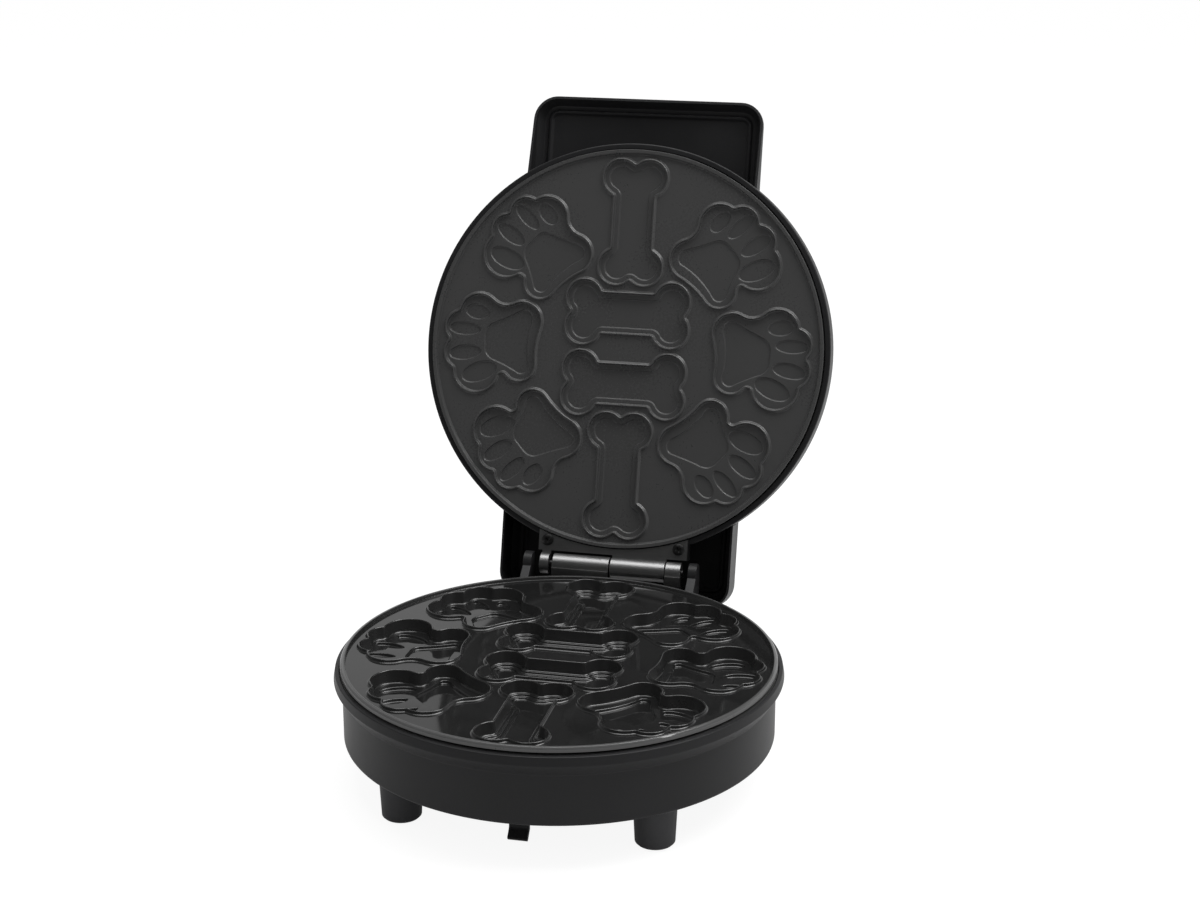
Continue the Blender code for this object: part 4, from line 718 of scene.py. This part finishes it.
# The posts that carry the plate, a height over them, and the radii of the bosses at their roots
POST, POST_TOP, ABOVE_POSTS = 3.6, 45.4, 60
BOSS_ROOT, BOSS_END = 5.4, 4.8
INLET_Y, INLET_HOLE = 48.0, 5.3
VENT_X, VENT_PITCH, VENT_HALF_LENGTH, VENT_HALF_WIDTH = 56.0, 8.0, 12, 1.6
FEET = (
    ("front_left", -58.0, -62.3), ("front_right", 58.0, -62.3),
    ("rear_left", -42.0, 78.0), ("rear_right", 42.0, 78.0),
)


def tub():
    """The housing: a shell with a bead under its shoulder, posts for the plate and the cuts in its floor."""
    shell = revolve(softened((
        (0, FLOOR, 0), (TUB, FLOOR, 1.8), (TUB, 45.6, 1.3), (104.0, 51.2, 1.0), (103.25, 55.3, 0.55),
        (SEAT, SHOULDER, 0.05), (SEAT, SEAT_Z, 0.2), (INSIDE, SEAT_Z, 0.3), (INSIDE, FLOOR_TOP, 2.0),
        (0, FLOOR_TOP, 0),
    ), turn=math.radians(8)))
    posts = [prism(circle(spot, POST, 24), FLOOR_TOP - 1.2, POST_TOP) for spot in FIXINGS]
    low, high = FLOOR_TOP - 1, FLOOR_TOP + 3
    boss = softened(((0, low, 0), (BOSS_ROOT, low, 0), (BOSS_END, high, 0.5), (0, high, 0)))
    bosses = [moved(revolve(boss, 32), x, y, 0) for x, y in FIXINGS]
    through = (FLOOR - 4, FLOOR_TOP + 4)
    holes = [screw_hole(spot, through[0], ABOVE_POSTS) for spot in FIXINGS]
    holes += [screw_hole((x, y), *through) for _, x, y in FEET]
    holes.append(prism(circle((0, INLET_Y), INLET_HOLE, 40), *through))
    for side in (-1, 1):
        for row in (-1, 0, 1):
            x, y = side * VENT_X, row * VENT_PITCH
            slot = rounded_rectangle(
                x - VENT_HALF_LENGTH, x + VENT_HALF_LENGTH, y - VENT_HALF_WIDTH, y + VENT_HALF_WIDTH,
                VENT_HALF_WIDTH - 0.01, math.radians(15),
            )
            holes.append(prism(slot, *through))
    return cut(join(shell, *posts, *bosses), *holes)


base_piece(tub(), "base_shell", "base_housing", "case", sharp=40)

# Feet, pads, hooks and inlet

foot_profile = softened((
    (0, 2.7, 0), (7.1, 2.7, 0), (7.1, 0.6, 0.15), (8.0, 0.6, 0.2), (9.0, 1.6, 0.6), (9.8, 18.4, 1.5),
    (10.6, UNDERSIDE, 0.1), (SCREW_HOLE, UNDERSIDE, 0), (SCREW_HOLE, 12.7, 0), (0, 12.7, 0),
), turn=math.radians(12))
pad_profile = softened((
    (0, 0.25, 0), (2.2, 0.25, 0), (2.5, 0.0, 0), (3.7, 0.0, 0), (4.0, 0.3, 0), (4.6, 0.3, 0), (4.9, 0.0, 0),
    (6.8, 0.0, 0.5), (6.8, 2.4, 0.2), (0, 2.4, 0),
))
# The feet's shells take the foot finish, whose paler colour is painted light
for name, x, y in FEET:
    base_piece(moved(revolve(foot_profile, 64), x, y, 0), f"{name}_foot_shell", f"{name}_foot", "foot")
    base_piece(moved(revolve(pad_profile, 48), x, y, 0), f"{name}_foot_pad", f"{name}_pad", "rubber")

HOOK_Y, HOOK_THICKNESS = -76.4, 2.4
HOOK_HALF, HOOK_ROOT_HALF, GUSSET_HALF = 4.5, 7.5, 1.5
# How low the plate bends, how low its end is and how far out that is
HOOK_BEND, HOOK_TIP, HOOK_FLARE = 7.8, 4.2, 3.6
# How far in the root pad reaches, how thick it is and how low the gusset starts on the plate
ROOT_REACH, ROOT_THICKNESS, GUSSET_LOW = 11.0, 3.0, 10.0
# The parts of the hook end this far inside one another where their faces would coincide
HOOK_INSET = 0.3


def cord_hook():
    """The front hook: a root pad, a gusset and a plate whose end flares outward."""
    inner = HOOK_Y + HOOK_THICKNESS
    run = HOOK_THICKNESS * math.sqrt(0.5)
    section = softened((
        (inner, UNDERSIDE, 0), (HOOK_Y, UNDERSIDE, 0), (HOOK_Y, HOOK_BEND, 2.6),
        (HOOK_Y - HOOK_FLARE, HOOK_TIP, 0.7), (HOOK_Y - HOOK_FLARE + run, HOOK_TIP - run, 0.7),
        (inner, HOOK_BEND - HOOK_THICKNESS * math.tan(math.pi / 8), 1.0),
    ), True)
    back, low = inner + ROOT_REACH, UNDERSIDE - ROOT_THICKNESS
    root = box((-HOOK_ROOT_HALF, HOOK_ROOT_HALF), (HOOK_Y + HOOK_INSET, back), (low, UNDERSIDE))
    middle, end, top = inner - HOOK_THICKNESS / 2, back - HOOK_INSET, UNDERSIDE - HOOK_INSET
    gusset = ((middle, top), (middle, GUSSET_LOW), (inner, GUSSET_LOW), (end, low), (end, top))
    return join(prism_x(section, -HOOK_HALF, HOOK_HALF), root, prism_x(gusset, -GUSSET_HALF, GUSSET_HALF))


base_piece(cord_hook(), "front_hook_shell", "front_cord_hook", "case", bevel=0.35)
base_piece(turned(cord_hook(), math.pi, "Z"), "rear_hook_shell", "rear_cord_hook", "case", bevel=0.35)
inlet_profile = softened((
    (3.6, 19.4, 0.4), (7.2, 19.4, 0.5), (7.2, UNDERSIDE, 0.2), (5.0, UNDERSIDE, 0), (5.0, 29.0, 0.4),
    (3.6, 29.0, 0.4),
), True)
base_piece(moved(revolve(inlet_profile, 48), 0, INLET_Y, 0), "cord_bushing", "cord_inlet", "rubber")

# Hinge

# The hood's end outside and inside, and its rim's height, in the lid frame
HOOD_END, HOOD_INSIDE, HOOD_RIM = 129.0, 126.4, 8.0
# The rear moulding, the radius and reach of its ears, how long their noses are and how near the hood they end
BLOCK_FRONT, BLOCK_BACK, BLOCK_HALF, BLOCK_LOW, BLOCK_TOP = 100.56, 104.7, 44.5, 23.0, 45.5
EAR, EAR_INNER, EAR_OUTER, EAR_FRONT, EAR_LOW = 5.6, 40.5, 44.8, 97.0, 53.66
EAR_NOSE, EAR_GAP = 3.0, 0.3
# The base's leaf, whose flat ends some way below the hinge's axis, and the lid's leaf
BASE_LEAF_FRONT, BASE_LEAF_THICKNESS, BASE_LEAF_LOW, BASE_LEAF_DROP = 105.0, 1.6, 30.0, 6.0
LEAF_HALF, LEAF_CORNER = 36.4, 1.2
LID_LEAF_HALF, LID_LEAF_RADIUS, LID_STRAP_FRONT, LID_LEAF_Z = 38.5, 101.6, 103.5, (1.0, 2.2)
# Radii of the knuckles, their bore and the pin, and where each leaf's knuckles lie along the pin
KNUCKLE, BORE, PIN = 5.4, 2.3, 1.9
BORE_HALF, PIN_HALF = 42.0, 37.4
BASE_KNUCKLES = ((-29.7, -0.5), (28.7, LEAF_HALF))
LID_KNUCKLES = ((0.25, 28.2), (-LEAF_HALF, -31.8))
# Where each leaf's screws lie, how long they are and where their heads rest
BASE_SCREWS, BASE_SCREW_Z = (("left", -26.0), ("middle", 0), ("right", 26.0)), 38.0
LID_SCREWS, LID_SCREW_Y = (("left", -34.0), ("right", 34.0)), 99.4
BASE_SCREW_LENGTH, BASE_SCREW_SEAT = 4.7, 106.9
LID_SCREW_LENGTH, LID_SCREW_SEAT = 5.5, 0.7


def open_point(y, z):
    """Base-frame y and z of a lid-frame point, with the lid fully open."""
    point = Matrix.Rotation(-OPEN_ANGLE, 4, "X") @ (Vector((0, y, z)) + Vector((0, -HINGE_Y, -LID_HINGE_Z)))
    return point.y + HINGE_Y, point.z + HINGE_Z


def ear_section():
    """An ear of the rear moulding, with a nose that reaches up to the open hood's rim."""
    inner, outer = (Vector(open_point(y, HOOD_RIM)) for y in (HOOD_INSIDE, HOOD_END))
    facing = (inner - outer).normalized()
    away = Vector((-facing.y, facing.x))
    nose_top = inner + away * EAR_GAP - facing * EAR_GAP
    nose_low = nose_top - facing * EAR_NOSE
    points = [(EAR_FRONT, BLOCK_LOW), (BLOCK_BACK, BLOCK_LOW), tuple(nose_low), tuple(nose_top)]
    return points + arc(HINGE, EAR, 0, math.pi, math.radians(12)) + [(EAR_FRONT, EAR_LOW)]


def hollow_plan(half, radius, back):
    """A plan that is straight behind and hollow in front, along the wall of the housing."""
    edge = math.asin(half / radius)
    front = arc((0, 0), radius, math.pi / 2 - edge, math.pi / 2 + edge, math.radians(2))
    front[0], front[-1] = (half, front[0][1]), (-half, front[-1][1])
    return front + [(-half, back), (half, back)]


def hinge_block():
    block = prism(hollow_plan(BLOCK_HALF, BLOCK_FRONT, BLOCK_BACK), BLOCK_LOW, BLOCK_TOP)
    ears = [prism_x(ear_section(), *span) for span in ((EAR_INNER, EAR_OUTER), (-EAR_OUTER, -EAR_INNER))]
    holes = [facing_back(screw_hole((0, 0), -3.1, 4), x, BLOCK_BACK, BASE_SCREW_Z) for _, x in BASE_SCREWS]
    return cut(join(block, *ears), *holes)


def knuckled(leaf, straps, knuckles, centre, holes):
    barrels = [barrel(KNUCKLE, low, high, centre) for low, high in knuckles]
    bore = prism_x(circle((0, 0), BORE, 32), -BORE_HALF, BORE_HALF)
    return cut(join(leaf, *straps, *barrels), moved(bore, 0, *centre), *holes)


def base_leaf():
    back, high = BASE_LEAF_FRONT + BASE_LEAF_THICKNESS, HINGE_Z - BASE_LEAF_DROP
    outline = rounded_rectangle(-LEAF_HALF, LEAF_HALF, BASE_LEAF_LOW, high, LEAF_CORNER)
    leaf = moved(turned(prism(outline, 0, BASE_LEAF_THICKNESS), math.pi / 2), 0, back, 0)
    straps = [box(span, (BASE_LEAF_FRONT, HINGE_Y), (high - KNUCKLE, HINGE_Z)) for span in BASE_KNUCKLES]
    holes = [facing_back(screw_hole((0, 0), -4, 4), x, back, BASE_SCREW_Z) for _, x in BASE_SCREWS]
    return knuckled(leaf, straps, BASE_KNUCKLES, HINGE, holes)


def lid_leaf():
    leaf = prism(hollow_plan(LID_LEAF_HALF, LID_LEAF_RADIUS, BLOCK_BACK), *LID_LEAF_Z)
    straps = [box(span, (LID_STRAP_FRONT, HINGE_Y), LID_LEAF_Z) for span in LID_KNUCKLES]
    holes = [screw_hole((x, LID_SCREW_Y), -3, 6.2) for _, x in LID_SCREWS]
    return knuckled(leaf, straps, LID_KNUCKLES, (HINGE_Y, LID_HINGE_Z), holes)


base_piece(hinge_block(), "hinge_mount", "hinge_block", "case", bevel=0.5)
base_piece(base_leaf(), "base_leaf_plate", "base_hinge_leaf", "hinge_steel", bevel=0.2)
base_piece(barrel(PIN, -PIN_HALF, PIN_HALF, HINGE, 0.5, 32), "hinge_rod", "hinge_pin", "steel")
lid_piece(lid_leaf(), "lid_leaf_plate", "lid_hinge_leaf", "hinge_steel", bevel=0.2)
for side, x in BASE_SCREWS:
    one = screw(BASE_SCREW_LENGTH, LEAF_SCREW_HEAD, LEAF_SCREW_DOME)
    one = facing_back(one, x, BASE_SCREW_SEAT, BASE_SCREW_Z)
    base_piece(one, f"base_leaf_screw_{side}", f"base_hinge_screw_{side}", "steel")
for side, x in LID_SCREWS:
    one = screw(LID_SCREW_LENGTH, LEAF_SCREW_HEAD, LEAF_SCREW_DOME)
    one = moved(turned(one, math.pi), x, LID_SCREW_Y, LID_SCREW_SEAT)
    lid_piece(one, f"lid_leaf_screw_{side}", f"lid_hinge_screw_{side}", "steel")
# A plate's screws end just short of the ends of their pockets
PLATE_SCREW_LENGTH = LOWER_TOP - LOWER_BACK - UNDERSIDE + LOWER_POCKET - 0.3
for number, (x, y) in enumerate(FIXINGS, 1):
    one = screw(PLATE_SCREW_LENGTH, PLATE_SCREW_HEAD, PLATE_SCREW_DOME)
    one = moved(turned(one, math.pi), x, y, UNDERSIDE)
    base_piece(one, f"plate_screw_{number}", f"lower_plate_screw_{number}", "steel")

# Lid

# The dome: its radius, the roundness and height of its edge, the rise of its middle, and its thickness
LID_R, DOME_ROUND, DOME_EDGE, CROWN, DOME_THICKNESS = 104.3, 13.0, 27.5, 1.8, 2.5
# The shelf behind, to which the hinge's leaf is screwed
SHELF_RADIUS, SHELF_BACK, SHELF_LOW, SHELF_TOP = 102.9, 105.0, 2.5, 10.0
# The plate's posts, and the wells in the dome where their screws' heads lie
LID_POST_LOW, WELL, WELL_DEPTH = 7.5, 3.5, 2.4
# The band's clips, and how far their slots reach inward, outward and to each side of them
CLIPS = [(x, y) for x in (-48.0, 48.0) for y in (-38.0, 38.0)]
CLIP_HALF, CLIP_ROOT, SLOT_INWARD, SLOT_OUTWARD, SLOT_HALF = 4, 31.1, 1.2, 2.4, 4.3
LENSES = (("power", -8.0), ("ready", 8.0))
LENS_Y, LENS_HOLE, LENS, LENS_FLANGE = -76.0, 2.9, 2.6, 3.8
BAND_HALF, TIP, BAND_TOP, BAND_CORNER, BAND_ROUND = 60.0, -129.5, 32.4, 12.0, 7.0
# The handle's rim at the root of the handle, and how fast it rises towards the tip
HANDLE_ROOT, HANDLE_RIM, HANDLE_SLOPE = -105.0, 19.4, 0.235
# A cut from this far under the dome's outside up to the band's top goes right through the dome
THROUGH_DOME = 6.5
# The band's gap to the dome. Cuts in the band start this low and reach this far to each side, and those for
# the lenses lie between these heights
BAND_GAP, BELOW_BAND, PAST_BAND, THROUGH_BAND = 0.3, 4.0, 64, (25.8, 36.4)


def dome_height(radius):
    return DOME_EDGE + CROWN * (1 - radius / (LID_R - DOME_ROUND))


def dome_profile(offset, low):
    """The dome's side from its crown to a low edge, moved outward by an offset."""
    flat = LID_R - DOME_ROUND
    crown = [(radius, dome_height(radius) + offset) for radius in (0, flat / 2)]
    side = arc((flat, DOME_EDGE - DOME_ROUND), DOME_ROUND + offset, math.pi / 2, 0, math.radians(7.5))
    return [*crown, *side, (LID_R + offset, low)]


def lid_housing():
    lower_edge = softened((
        (LID_R, 12.0, 0), (LID_R, 2.5, 0.8), (101.5, 2.5, 0.25), (101.5, 6.2, 0.1), (98.5, 6.2, 0.2),
        (98.5, 8.2, 0.2), (101.8, 9.2, 0),
    ))
    profile = dome_profile(0, 12.0)[:-1] + lower_edge[:-1] + dome_profile(-DOME_THICKNESS, 9.2)[::-1]
    shelf = prism(hollow_plan(LID_LEAF_HALF, SHELF_RADIUS, SHELF_BACK), SHELF_LOW, SHELF_TOP)
    posts, holes = [], []
    for spot in FIXINGS:
        top = dome_height(math.hypot(*spot))
        posts.append(prism(circle(spot, POST, 24), LID_POST_LOW, top - DOME_THICKNESS / 2))
        holes.append(screw_hole(spot, 3.5, top + 4))
        holes.append(prism(circle(spot, WELL, 28), top - WELL_DEPTH, top + 4))
    for _, x in LID_SCREWS:
        holes.append(screw_hole((x, LID_SCREW_Y), -2, 6.8))
    for x, y in CLIPS:
        side = math.copysign(1, x)
        span = sorted((x - side * SLOT_INWARD, x + side * SLOT_OUTWARD))
        low = dome_height(math.hypot(x, y)) - THROUGH_DOME
        holes.append(box(span, (y - SLOT_HALF, y + SLOT_HALF), (low, BAND_TOP)))
    for _, x in LENSES:
        low = dome_height(-LENS_Y) - THROUGH_DOME
        holes.append(prism(circle((x, LENS_Y), LENS_HOLE, 24), low, BAND_TOP))
    return cut(join(revolve(profile), shelf, *posts), *holes)


lid_piece(lid_housing(), "lid_shell", "lid_housing", "case", sharp=40)


def band_outline(inset):
    x, corner = BAND_HALF - inset, BAND_CORNER - inset
    return rounded_rectangle(-x, x, TIP + inset, HOOD_END - inset, corner, math.radians(9))


def band_shell():
    edge = arc((0, 0), BAND_ROUND, 0, math.pi / 2)
    rounded = [(band_outline(BAND_ROUND - across), BAND_TOP - BAND_ROUND + up) for across, up in edge]
    return loft([(band_outline(0), HOOD_RIM), *rounded])


# The hollow's inside: how far in from the band's outline, how high and how round
HOLLOW_ROWS = (
    (1.1, BELOW_BAND, 0), (1.3, 25.0, 0.5), (4.4, 30.2, 1.2), (6.2, 30.4, 0.4), (7.0, 29.0, 0.4),
    (8.0, 28.9, 0.3), (9.2, 30.2, 0.4), (11.5, 30.3, 0),
)


def band_hollow():
    return loft([(band_outline(inset), height) for inset, height in softened(HOLLOW_ROWS)])


def clip(x, y):
    """A tongue that hangs from the band through the dome, with a nose that catches under it."""
    nose = dome_height(math.hypot(x, y)) - 2.8
    tongue = (
        (-0.8, CLIP_ROOT), (-0.8, nose - 2), (0.8, nose - 2), (2.0, nose - 1), (2.0, nose), (0.8, nose),
        (0.8, CLIP_ROOT),
    )
    side = math.copysign(1, x)
    bm = prism([(side * across, up) for across, up in tongue], -CLIP_HALF, CLIP_HALF)
    return moved(turned(bm, math.pi / 2), x, y, 0)


def lid_band():
    """Handle tray and hood in one: a hollow shell, open over the dome and under the handle's slanted rim."""
    dome = revolve([*dome_profile(BAND_GAP, BELOW_BAND), (0, BELOW_BAND)])
    far, near = TIP - 4.0, HANDLE_ROOT + (HANDLE_RIM - HOOD_RIM) / HANDLE_SLOPE
    far_rim = HANDLE_RIM - HANDLE_SLOPE * (far - HANDLE_ROOT)
    wedge = ((far, far_rim), (near, HOOD_RIM), (near, BELOW_BAND), (far, BELOW_BAND))
    slanted = prism_x(wedge, -PAST_BAND, PAST_BAND)
    lenses = [prism(circle((x, LENS_Y), LENS_HOLE, 24), *THROUGH_BAND) for _, x in LENSES]
    band = cut(band_shell(), band_hollow(), dome, slanted, *lenses)
    return join(band, *(clip(x, y) for x, y in CLIPS))


lid_piece(lid_band(), "lid_band_shell", "lid_band", "case", bevel=0.3)

flange_top = dome_height(-LENS_Y) - 2.9
flange_low = flange_top - 1.4
lens_profile = softened((
    (0, 32.7, 0), (1.4, 32.62, 0), (LENS, 32.35, 0.4), (LENS, flange_top, 0), (LENS_FLANGE, flange_top, 0.1),
    (LENS_FLANGE, flange_low, 0.1), (0, flange_low, 0),
))
for name, x in LENSES:
    lens = moved(revolve(lens_profile, 40), x, LENS_Y, 0)
    lid_piece(lens, f"{name}_lens_cap", f"{name}_light_lens", f"{name}_lens")

# The CAD nodes that stay get the finer materials of their slots

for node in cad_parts.values():
    for slot in node.material_slots:
        key = slot.material.name.split(".")[0] if slot.material else "case"
        slot.material = FINISHES.get(key, FINISHES["case"])

# Studio, in metres

STUDIO_HALF = 6.0
FLOOR_SHADE, GLOW = 0.55, 1.30
# How much of the floor is glow: most of it to the eye, so that its shadow is faint, and less in mirrors
SEEN_GLOW, MIRRORED_GLOW = 0.70, 0.15
# The world's light on things. In mirrors it is white behind the object and beside it, dim above and dark
# behind the camera: each row is an axis, two places on it and the levels there
AMBIENT = 0.50
MIRRORED = (
    ("Y", -0.70, -0.12, 0.06, 0.74),
    ("Z", 0.30, 0.55, 1.0, 0.35),
    ("X", -0.85, -0.35, 0.4, 1.0),
)
# Each lamp's name, place, target, size and power
LAMPS = (
    ("top_softbox", (-0.05, 0.10, 1.5), (0, 0, 0.1), 1.0, 12.5),
    ("right_key", (0.75, 0.05, 1.30), (0, 0, 0.12), 0.7, 11.0),
)
CAMERA, CAMERA_TARGET, FOCAL_LENGTH = (0.2280, -0.9837, 0.4665), (0.01929, -0.0523, 0.1557), 67.35


def studio_floor():
    bm = bmesh.new()
    bmesh.ops.create_grid(bm, x_segments=2, y_segments=2, size=STUDIO_HALF)
    made = as_object(bm, "floor")
    paint = bpy.data.materials.new("floor_paint")
    paint.use_nodes = True
    nodes = Nodes(paint.node_tree)
    path = nodes.add("ShaderNodeLightPath").outputs
    diffuse = nodes.add("ShaderNodeBsdfDiffuse", {"Color": rgba(grey(FLOOR_SHADE))}).outputs[0]
    white = nodes.add("ShaderNodeEmission", {"Color": (1, 1, 1, 1), "Strength": GLOW}).outputs[0]
    mirrored = nodes.math("MAXIMUM", path["Is Glossy Ray"], path["Is Transmission Ray"])
    seen_glow = nodes.math("MULTIPLY", path["Is Camera Ray"], SEEN_GLOW)
    share = nodes.math("MAXIMUM", seen_glow, nodes.math("MULTIPLY", mirrored, MIRRORED_GLOW))
    mixed = nodes.add("ShaderNodeMixShader", {0: share, 1: diffuse, 2: white}).outputs[0]
    # Clear from below, so that the underside can be looked at
    below = nodes.add("ShaderNodeNewGeometry").outputs["Backfacing"]
    clear = nodes.add("ShaderNodeBsdfTransparent").outputs[0]
    one_sided = nodes.add("ShaderNodeMixShader", {0: below, 1: mixed, 2: clear}).outputs[0]
    nodes.add("ShaderNodeOutputMaterial", {"Surface": one_sided})
    made.data.materials.append(paint)


def studio_world():
    made = bpy.data.worlds.new("studio")
    bpy.context.scene.world = made
    made.use_nodes = True
    nodes = Nodes(made.node_tree)
    path = nodes.add("ShaderNodeLightPath").outputs
    direction = nodes.add("ShaderNodeTexCoord").outputs["Generated"]
    way = nodes.add("ShaderNodeSeparateXYZ", {"Vector": direction}).outputs
    shown = 1.0
    for axis, *places_and_levels in MIRRORED:
        shown = nodes.math("MULTIPLY", shown, nodes.ramp(way[axis], *places_and_levels, "SMOOTHSTEP"))
    mirrored = nodes.math("MAXIMUM", path["Is Glossy Ray"], path["Is Transmission Ray"])
    level = nodes.add("ShaderNodeMix", {0: mirrored, 2: AMBIENT, 3: shown}).outputs[0]
    level = nodes.add("ShaderNodeMix", {0: path["Is Camera Ray"], 2: level, 3: 1.0}).outputs[0]
    shader = nodes.add("ShaderNodeBackground", {"Color": (1, 1, 1, 1), "Strength": level}).outputs[0]
    nodes.add("ShaderNodeOutputWorld", {"Surface": shader})


def aimed(made, place, target):
    made.location = place
    made.rotation_mode = "QUATERNION"
    made.rotation_quaternion = (Vector(target) - Vector(place)).to_track_quat("-Z", "Y")
    return made


def lamp(name, place, target, size, power):
    data = bpy.data.lights.new(name, "AREA")
    data.shape = "RECTANGLE"
    data.size = data.size_y = size
    data.energy = power
    aimed(placed(name, data), place, target)


studio_floor()
studio_world()
for row in LAMPS:
    lamp(*row)

camera_data = bpy.data.cameras.new("camera")
camera_data.sensor_width = 36.0
camera_data.lens = FOCAL_LENGTH
bpy.context.scene.camera = aimed(placed("camera", camera_data), CAMERA, CAMERA_TARGET)
bpy.context.scene.view_settings.view_transform = "Standard"
